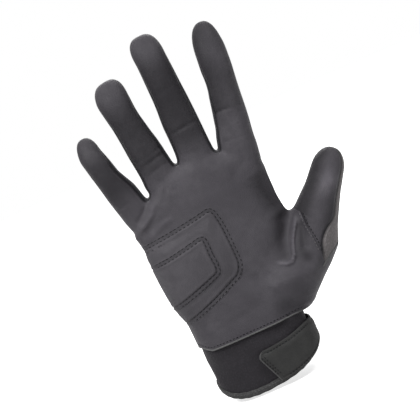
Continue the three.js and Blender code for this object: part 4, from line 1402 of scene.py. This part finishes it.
def tube(name, rings, material, sharp=50):
    """A body through closed rings of equal counts, with a flat face at each end."""
    count, sides = rings.shape[:2]
    total = count * sides
    first = np.arange(sides)
    last = first + total - sides
    quads = ring_quads(count, sides)
    ends = [np.stack([np.roll(first, -1), first, np.full(sides, total)], 1),
            np.stack([last, np.roll(last, -1), np.full(sides, total + 1)], 1)]
    middles = [rings[0].mean(axis=0), rings[-1].mean(axis=0)]
    points = np.concatenate([rings.reshape(-1, 3), middles])
    volume = sum(volume_of(points, part) for part in (quads, *ends))
    faces = [*quads, *ends[0], *ends[1]]
    faces = [face.tolist() if volume > 0 else face[::-1].tolist() for face in faces]
    piece = new_piece(name, points, faces, material)
    piece.data.set_sharp_from_angle(angle=math.radians(sharp))
    return piece


def cuff_waves(angle, height):
    """Soft rolls of the cuff's fabric and a hollow between palm and strap.

    The rolls are sines of the angle and the height that fade to the top and the hem. The hollow is a bell
    curve of the height, eased to 0 at both ends of its stretch of the wrist.
    """
    middle = np.sin(np.clip((height - 6) / 36, 0, 1) * math.pi)
    hollow = 0.6 * np.exp(-((height - 34) / 4) ** 2) * eased((angle - 1.48 * math.pi) / 0.3)
    hollow = hollow * eased((TURN - 0.25 - angle) / 0.4)
    rolls = 0.35 * np.sin(7 * angle + height / 6) + 0.25 * np.sin(3 * angle - height / 4 + 1)
    return middle * rolls - hollow


def cuff_sheet(name, angle, height, outer, inner):
    """A sheet of the cuff's fabric round the wrist between two offsets, with the cuff's rolls."""
    puff = cuff_waves(angle, height)
    sheet = shell(name, wrist_point(angle, height, outer + puff), wrist_point(angle, height, inner + puff),
                  CUFF_KNIT)
    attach(sheet, "hand")
    return sheet


def add_cuff():
    """The cuff's front and back, from the hem up to a top that is hidden under the hand's skin."""
    share = np.linspace(0, 1, 44)[:, None]
    for side, (low, high) in CUFF_SIDES.items():
        angle = np.linspace(low, high, 140)[None, :]
        height = hem_height(angle) * (1 - share) + CUFF_TOP * share
        cuff = cuff_sheet(f"cuff_{side}_wall", angle, height, CUFF_OUTER, CUFF_INNER)
        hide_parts(f"cuff_{side}")


def add_binding():
    """A tape folded over the hem: its profile carried round the wrist, with a fine ripple."""
    angle = np.linspace(SLIT_ANGLE, TURN - SLIT_ANGLE, 260)[:, None]
    ripple = 0.12 * np.sin(angle * 31)
    height = hem_height(angle, ripple) + BINDING_PROFILE[None, :, 1]
    rings = wrist_point(angle, height, BINDING_PROFILE[None, :, 0])
    binding = tube("hem_binding_tape", rings, BINDING_TAPE)
    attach(binding, "hand")
    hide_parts("hem_binding")


def add_cuff_seam():
    """A flat sewn seam where the cuff's front and back meet: ovals carried up the little-finger side."""
    height = np.linspace(hem_height(math.pi) + 3.6, 40.5, 40)
    centre = wrist_point(math.pi, height, CUFF_OUTER + cuff_waves(math.pi, height))
    around = circle(12)
    ring = np.stack([0.4 * np.cos(around), 1.2 * np.sin(around), 0 * around], 1)
    seam = tube("cuff_side_seam", centre[:, None] + ring[None], CUFF_KNIT, sharp=70)
    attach(seam, "hand")


def add_slit_tongue():
    """A tongue of the cuff's fabric behind the slit on the thumb side."""
    angle = np.linspace(-TONGUE_ANGLE, TONGUE_ANGLE, 21)[None, :]
    share = np.linspace(0, 1, 24)[:, None]
    height = (hem_height(angle) + 3.7) * (1 - share) + TONGUE_TOP * share
    cuff_sheet("cuff_slit_tongue", angle, height, TONGUE_OUTER, TONGUE_INNER)


def strap_left(height):
    """X of the strap's slanted end by height: a falling line, then a quarter circle at its top corner."""
    left = 7.2 - 10.7 * (height + 3.2) / 26.1
    rise = np.clip((height - 22.4) / 4.1, 0, 1)
    return np.maximum(left, -3.4) + 3.0 * (1 - np.sqrt(1 - rise ** 2))


def strap_top(x):
    """The strap's top by x: nearly level, then two smooth steps that climb to the thumb side."""
    return 27 + 1.6 * eased(x / 24) + 2.6 * eased((x - 16) / 20)


def strap_curl(height, top):
    """How far the strap's upper edge curls in towards the cuff."""
    return 1.2 * eased((height - top + 5) / 5)


def strap_height(x, share):
    """The height at a share of the way from the strap's bottom to its top, by x."""
    low = hem_height(angle_at(x), STRAP_LIFT)
    return low + share * (strap_top(x) - low)


def strap_end(share):
    """X of the strap's slanted end at a share of its height: the end and the height are found in turns."""
    left = np.full_like(share, 2.0)
    for _ in range(12):
        left = strap_left(strap_height(left, share))
    return left


def strap_grid(columns, rows):
    """Angles and heights over the strap: lines crowd together near its edges, and follow its slanted end."""
    u = (0.5 * crowded(columns) + 0.5 * np.linspace(0, 1, columns))[None, :]
    v = crowded(rows)[:, None]
    left = strap_end(v)
    start = angle_at(left)
    angle = start + u * (TURN - SEAM_ANGLE - start)
    x = wrist_point(angle, STRAP_LEVEL, 1.0)[..., 0]
    low = hem_height(angle, STRAP_LIFT)
    height = low + v * (strap_top(x) - low)
    return angle, height, low, x, left


def strap_thickness(edge):
    """The strap's thickness by the distance to its edge: a quarter there, and full past its roll."""
    return STRAP_THICKNESS * (0.25 + 0.75 * rolled(edge, STRAP_ROLL))


def strap_groove(edge):
    """The groove that the strap's stitches draw beside its edge."""
    return row_groove(edge, ROW_INSET, 0.3, 0.45)


def add_strap():
    """The strap round the palm side, with rolled edges, soft waves and a curled upper edge."""
    angle, height, low, x, left = strap_grid(110, 48)
    edge = np.minimum(np.minimum(height - low, strap_top(x) - height), (x - left))
    edge = np.clip(edge, 0, None)
    waves = 0.18 * np.sin(x / 4 + height / 9) * eased(edge / 5) - strap_curl(height, strap_top(x))
    groove = strap_groove(edge) * (x < STRAP_ROW_END + 1)
    outer = wrist_point(angle, height, STRAP_BED + strap_thickness(edge) + waves - groove)
    inner = wrist_point(angle, height, STRAP_BED + waves)
    strap = shell("strap_band", outer, inner, STRAP_LEATHER, sharp=60)
    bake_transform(strap)
    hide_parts("strap")


def add_strap_edge():
    """A rolled edge of lighter leather along the strap's slanted end: circles that shrink at both ends."""
    share = np.linspace(0.02, 0.985, 60)
    line = strap_end(share)
    height = strap_height(line, share)
    around = circle(12)[None, :]
    thin = 0.5 * np.sqrt(np.clip(1 - (2 * share - 1) ** 14, 0.05, 1))[:, None]
    angle = angle_at(line[:, None] + 0.25 + thin * np.cos(around))
    offset = 1.45 - strap_curl(height, strap_top(line))[:, None] + 1.15 * thin * np.sin(around)
    rings = wrist_point(angle, height[:, None], offset)
    rolled_edge = tube("strap_rolled_edge", rings, STRAP_EDGE, sharp=70)
    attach(rolled_edge, "strap")


def grip_patch(name, low_x, high_x, low_z, high_z, bed, thickness, body, replaced, material):
    """A patch of hooks or loops between two places and two heights on the wrist, with rolled edges."""
    angle = np.linspace(angle_at(low_x), angle_at(high_x), 40)[None, :]
    height = np.linspace(low_z, high_z, 26)[:, None]
    edge = np.minimum(np.minimum(np.linspace(0, 1, 40), np.linspace(1, 0, 40))[None, :] * (high_x - low_x),
                      np.minimum(height - low_z, high_z - height))
    outer = wrist_point(angle, height, bed + thickness * (0.3 + 0.7 * rolled(edge, 1.0)))
    inner = wrist_point(angle, height, np.full_like(edge, bed))
    patch = shell(name, outer, inner, material, sharp=60)
    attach(patch, body)
    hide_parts(replaced)


def add_sewn_end():
    """Behind the thumb side: high beside the strap's hinge, low where it is sewn to the cuff."""
    angle = np.linspace(SEAM_ANGLE, angle_at(SEWN_END_X, front=False), 70)[None, :]
    x = wrist_point(angle, STRAP_LEVEL, 0.0)[..., 0]
    behind = eased((36 - x) / 3)
    low = hem_height(angle, 3.6) * behind + hem_height(angle, STRAP_LIFT) * (1 - behind)
    top = strap_top(WRIST_HALF_WIDTH)
    height = low + crowded(40)[:, None] * (top - low)
    bed = STRAP_BED - np.maximum(2.0 * eased((35.2 - x) / 3.5), strap_curl(height, top))
    edge = np.minimum(np.minimum(height - low, top - height), x - SEWN_END_X)
    thickness = strap_thickness(np.clip(edge, 0, None))
    outer = wrist_point(angle, height, bed + thickness - strap_groove(edge))
    inner = wrist_point(angle, height, bed)
    sewn = shell("strap_sewn_band", outer, inner, STRAP_LEATHER, sharp=60)
    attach(sewn, "hand")
    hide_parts("strap_sewn_end")


def hem_line(rise, margin=0.003):
    """Points on the skin along the palm's lower edge, raised above it."""
    place = wrist_point(np.linspace(math.pi + margin, TURN - margin, 200), SEAM_HEIGHT, 0.0)
    for _ in range(2):
        place[:, 2] = SEAM_HEIGHT + rise + hem_lift(place)
        place = onto_skin(place, 3)
    place[:, 2] = SEAM_HEIGHT + rise + hem_lift(place)
    return place


def add_palm_edge():
    """A thin rolled edge along the palm leather's hem."""
    place = hem_line(0)
    normal = normals_at(place)
    normal[:, 2] = 0
    normal /= np.linalg.norm(normal, axis=1, keepdims=True)
    around = circle(12)
    rings = place[:, None] + normal[:, None] * (-0.15 + 0.6 * np.sin(around))[None, :, None]
    rings[..., 2] += 0.15 + 0.55 * np.cos(around)[None, :]
    edge = tube("palm_rolled_edge", rings, PALE_EDGE, sharp=70)
    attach(edge, "hand")
    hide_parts("palm_edge")


add_cuff()
add_binding()
add_cuff_seam()
add_slit_tongue()
add_strap()
add_strap_edge()
add_sewn_end()
grip_patch("loop_pile", 1.9, 25.9, 9, 23, -1.2, 0.8, "hand", "loop_patch", LOOP_PILE)
grip_patch("hook_tape", 3.9, 23.9, 11, 21, -0.1, 0.6, "strap", "hook_patch", HOOK_TAPE)
add_palm_edge()


# Stitches

# Pitches of the rows on the hand's skin and on the hem's binding
SKIN_PITCH = 2.3
BINDING_PITCH = 2.4
# Along a thread, the shares of its half length, of its thickness and of its rise out of the leather
THREAD_STATIONS = np.array([-1, -0.75, 0, 0.75, 1])
THREAD_THICKNESS = np.array([0.35, 0.85, 1, 0.85, 0.35])
THREAD_RISE = np.array([-0.9, 0.0, 0.35, 0.0, -0.9])
THREAD_SIDES = 6
THREAD_POINTS = len(THREAD_STATIONS) * THREAD_SIDES
THREAD_ENDS = np.array([[0, 5, 4, 3], [3, 2, 1, 0], [24, 25, 26, 27], [27, 28, 29, 24]])


def on_front(flat, field, offset=0.0):
    """The points with given X and Z on the palm side of a field, by halving between outside and inside."""
    outside, inside = np.full(len(flat), -34.0), np.full(len(flat), 0.0)
    for _ in range(22):
        middle = (outside + inside) / 2
        points = np.stack([flat[:, 0], middle, flat[:, 1]], 1)
        out = field(points) > offset
        outside, inside = np.where(out, middle, outside), np.where(out, inside, middle)
    return np.stack([flat[:, 0], inside, flat[:, 1]], 1)


def spaced(line, pitch, shift=0.0):
    """Places at an even pitch along a line of points, and the way the line runs there."""
    lengths = np.linalg.norm(np.diff(line, axis=0), axis=1)
    along = np.concatenate([[0], np.cumsum(lengths)])
    at = np.arange(pitch * (0.5 + shift), along[-1] - pitch * 0.3, pitch)
    place = np.stack([np.interp(at, along, column) for column in line.T], 1)
    ahead = np.stack([np.interp(at + 0.3, along, column) for column in line.T], 1)
    back = np.stack([np.interp(at - 0.3, along, column) for column in line.T], 1)
    way = ahead - back
    return place, way / np.linalg.norm(way, axis=1, keepdims=True)


def add_stitches(name, rows, body, length=2.0, radius=0.3, material=THREAD):
    """Rows of short threads: six-sided, thick in the middle, with both ends dipping into the leather.

    Each row gives places, the way the thread runs and the way out of the leather.
    """
    place, way, out = (np.concatenate([row[k] for row in rows]) for k in range(3))
    side = np.cross(way, out)
    side /= np.linalg.norm(side, axis=1, keepdims=True)
    out = np.cross(side, way)
    thick = THREAD_THICKNESS * radius
    rise = THREAD_RISE * radius
    around = circle(THREAD_SIDES)
    ring = (place[:, None, None] + way[:, None, None] * (THREAD_STATIONS * length / 2)[None, :, None, None]
            + side[:, None, None] * (thick[:, None] * np.cos(around))[None, :, :, None]
            + out[:, None, None] * (rise[:, None] + thick[:, None] * np.sin(around))[None, :, :, None])
    faces = np.concatenate([ring_quads(len(THREAD_STATIONS), THREAD_SIDES), THREAD_ENDS])
    one = turned_out(ring[0].reshape(-1, 3), faces)
    faces = (one[None] + THREAD_POINTS * np.arange(len(place))[:, None, None]).reshape(-1, 4)
    piece = new_piece(name, ring.reshape(-1, 3), faces, material)
    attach(piece, body)


def raised_row(line, offset, start, height, shift):
    """A row of stitches at a distance beside an X-Z line, laid on the palm raised by a height.

    It keeps to x over the start, and its first stitch is shifted by a share of the pitch.
    """
    line = smooth_line(line)
    way = np.gradient(line, axis=0)
    way /= np.linalg.norm(way, axis=1, keepdims=True)
    line = line + offset * np.stack([-way[:, 1], way[:, 0]], 1)
    line = line[line[:, 0] > start]
    points = on_front(line, skin)
    points = points[points[:, 1] < -1.2]
    normal = normals_at(points)
    points = points + normal * height(points)[:, None]
    place, way = spaced(points, HEEL_PITCH, shift)
    return place, way, normals_at(place)


def wrist_row(angle, height, offset, pitch):
    """A row of stitches round the wrist by angles and heights; its way out is an ellipse's slope."""
    place, way = spaced(wrist_point(angle, height, offset), pitch)
    out = place * np.array([1 / WRIST_HALF_WIDTH ** 2, 1 / WRIST_HALF_DEPTH ** 2, 0])
    return place, way, out / np.linalg.norm(out, axis=1, keepdims=True)


def skin_row(line):
    """A row of stitches along points on the skin."""
    place, way = spaced(line, SKIN_PITCH)
    return place, way, normals_at(place)


def strap_rows():
    """Two rows inside the strap's slanted end, and one inside its top and its bottom."""
    rows = []
    for inset in (1.3, 3.0):
        height = np.linspace(9.5, 25.2, 60)
        rows.append(wrist_row(angle_at(strap_left(height) + inset), height, 1.98, STRAP_PITCH))
    x = np.linspace(1.5, STRAP_ROW_END, 90)
    height = strap_top(x) - ROW_INSET
    rows.append(wrist_row(angle_at(x), height, 1.8 - strap_curl(-ROW_INSET, 0), STRAP_PITCH))
    x = np.linspace(9, STRAP_ROW_END, 70)
    height = hem_height(angle_at(x), STRAP_LIFT) + ROW_INSET
    rows.append(wrist_row(angle_at(x), height, 1.8, STRAP_PITCH))
    return rows


def add_piping(name, line, radius):
    """A thin roll of leather laid along points on the skin: circles across them that shrink at both ends."""
    way = np.gradient(line, axis=0)
    way /= np.linalg.norm(way, axis=1, keepdims=True)
    normal = normals_at(line)
    side = np.cross(way, normal)
    thick = radius * np.sqrt(1 - (0.96 * np.linspace(-1, 1, len(line))) ** 12)[:, None, None]
    around = circle(10)[None, :, None]
    rings = line[:, None] + thick * (np.cos(around) * side[:, None] + np.sin(around) * normal[:, None])
    piping = tube(name, rings, PALE_EDGE, sharp=70)
    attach(piping, "hand")


def add_seams():
    """Piping on the welt under the thumb, an edge beside the palm's lower corner, and rows of stitches."""
    x = np.linspace(56.2, 68.4, 40)
    welt = on_front(np.stack([x, WELT_Z + (x - WELT_X) * math.tan(WELT_ANGLE)], 1), skin, 0.1)
    add_piping("thumb_welt_piping", welt, 0.55)
    z = np.linspace(42.5, 60, 40)
    corner = onto_skin(np.stack([0 * z - 37, 0 * z - 2, z], 1), 5)
    add_piping("palm_corner_edge", corner, 0.4)
    z = np.linspace(95, 69, 60)
    beside = (("thumb_seam_loops", -0.9, PALE_THREAD), ("thumb_seam_stitches", 1.1, THREAD))
    for name, inset, material in beside:
        flat = np.stack([THUMB_SEAM_X + seam_swing(z) + inset, z], 1)
        add_stitches(name, [skin_row(on_front(flat, skin))], "hand", 1.5, 0.32, material=material)
    add_stitches("palm_hem_stitches", [skin_row(hem_line(2.0, 0.12))], "hand", 1.5, 0.25)
    angle = np.linspace(0.08, TURN - 0.08, 400)
    rows = [wrist_row(angle, hem_height(angle, 1.9), -0.36, BINDING_PITCH)]
    add_stitches("binding_stitches", rows, "hand", 1.6, 0.22, PALE_THREAD)
    add_stitches("strap_stitches", strap_rows(), "strap", 1.5, 0.27)
    angle = angle_at(np.linspace(SEWN_END_X + 2, STRAP_ROW_END + 1, 60), front=False)
    rows = [wrist_row(angle, height, -0.05, STRAP_PITCH) for height in (21.5, 30.0)]
    add_stitches("strap_end_stitches", rows, "hand", 1.5, 0.27)


def add_heel_stitches():
    """The two rows of the heel pad's cover and the two of its patch."""
    rows = [raised_row(line, offset, start, height, shift)
            for line, start, height in ((HEEL_LINE, -46, cover_height), (PATCH_LINE, -44, patch_height))
            for offset, shift in ((HALF_ROW_GAP, 0), (-HALF_ROW_GAP, 0.1))]
    add_stitches("heel_stitches", rows, "hand", radius=0.25)


add_heel_stitches()
add_seams()


# Floor and light

FLOOR_RADIUS = 4
FLOOR_SIDES = 64
FLOOR_GREY = (0.6, 0.6, 0.6, 1)
# Distances in metres over which the floor turns as white to the camera as the backdrop, and its glow there
FLOOR_FADE = (0.1, 0.4)
FLOOR_GLOW = (0.72, 1.0)
SKY_LIGHT = 0.1
LIGHT_TARGET = Vector((0, 0, 0.12))


def add_floor():
    """A wide pale floor that keeps the shadow and, further out, is as white to the camera as the backdrop."""
    mesh = bpy.data.meshes.new("floor")
    turn = circle(FLOOR_SIDES)
    rim = np.stack([FLOOR_RADIUS * np.cos(turn), FLOOR_RADIUS * np.sin(turn), 0 * turn], 1)
    mesh.from_pydata(rim.tolist(), [], [list(range(FLOOR_SIDES))])
    floor = bpy.data.objects.new("floor", mesh)
    scene.collection.objects.link(floor)
    material = bpy.data.materials.new("floor_paper")
    material.use_nodes = True
    tree = material.node_tree
    shader = tree.nodes["Principled BSDF"]
    shader.inputs["Base Color"].default_value = FLOOR_GREY
    shader.inputs["Roughness"].default_value = 0.9
    shader.inputs["Specular IOR Level"].default_value = 0.1
    eye = add_node(tree, "ShaderNodeLightPath").outputs
    seen = math_node(tree, "MAXIMUM", eye["Is Camera Ray"], eye["Is Glossy Ray"])
    place = add_node(tree, "ShaderNodeTexCoord").outputs["Object"]
    away = add_node(tree, "ShaderNodeVectorMath", {0: place}, operation="LENGTH").outputs["Value"]
    white = math_node(tree, "MULTIPLY", seen, stepped(tree, away, *FLOOR_FADE, *FLOOR_GLOW))
    glow = add_node(tree, "ShaderNodeEmission", {"Strength": white}).outputs[0]
    both = add_node(tree, "ShaderNodeAddShader", {0: shader.outputs[0], 1: glow}).outputs[0]
    tree.links.new(both, tree.nodes["Material Output"].inputs["Surface"])
    mesh.materials.append(material)


def add_light(name, place, power, size):
    """A square soft light that faces the middle of the glove."""
    data = bpy.data.lights.new(name, "AREA")
    data.energy = power
    data.size = size
    light = bpy.data.objects.new(name, data)
    light.location = place
    light.rotation_euler = (LIGHT_TARGET - Vector(place)).to_track_quat("-Z", "Y").to_euler()
    scene.collection.objects.link(light)


def add_world():
    """White to the camera and in reflections, and an even grey light on everything else."""
    world = bpy.data.worlds.new("studio")
    scene.world = world
    world.use_nodes = True
    tree = world.node_tree
    eye = add_node(tree, "ShaderNodeLightPath").outputs
    seen = math_node(tree, "MAXIMUM", eye["Is Camera Ray"], eye["Is Glossy Ray"])
    seen = math_node(tree, "MAXIMUM", seen, eye["Is Transmission Ray"])
    strength = math_node(tree, "MULTIPLY_ADD", seen, 1 - SKY_LIGHT, SKY_LIGHT)
    tree.links.new(strength, tree.nodes["Background"].inputs["Strength"])
    tree.nodes["Background"].inputs["Color"].default_value = (1, 1, 1, 1)


add_floor()
add_world()
add_light("key", (-0.6, -0.72, 1.05), 22, 0.5)
add_light("right", (0.55, -0.5, 1.15), 13, 0.5)
add_light("back", (0.1, 1.0, 0.9), 12, 0.9)
scene.view_settings.view_transform = "Standard"
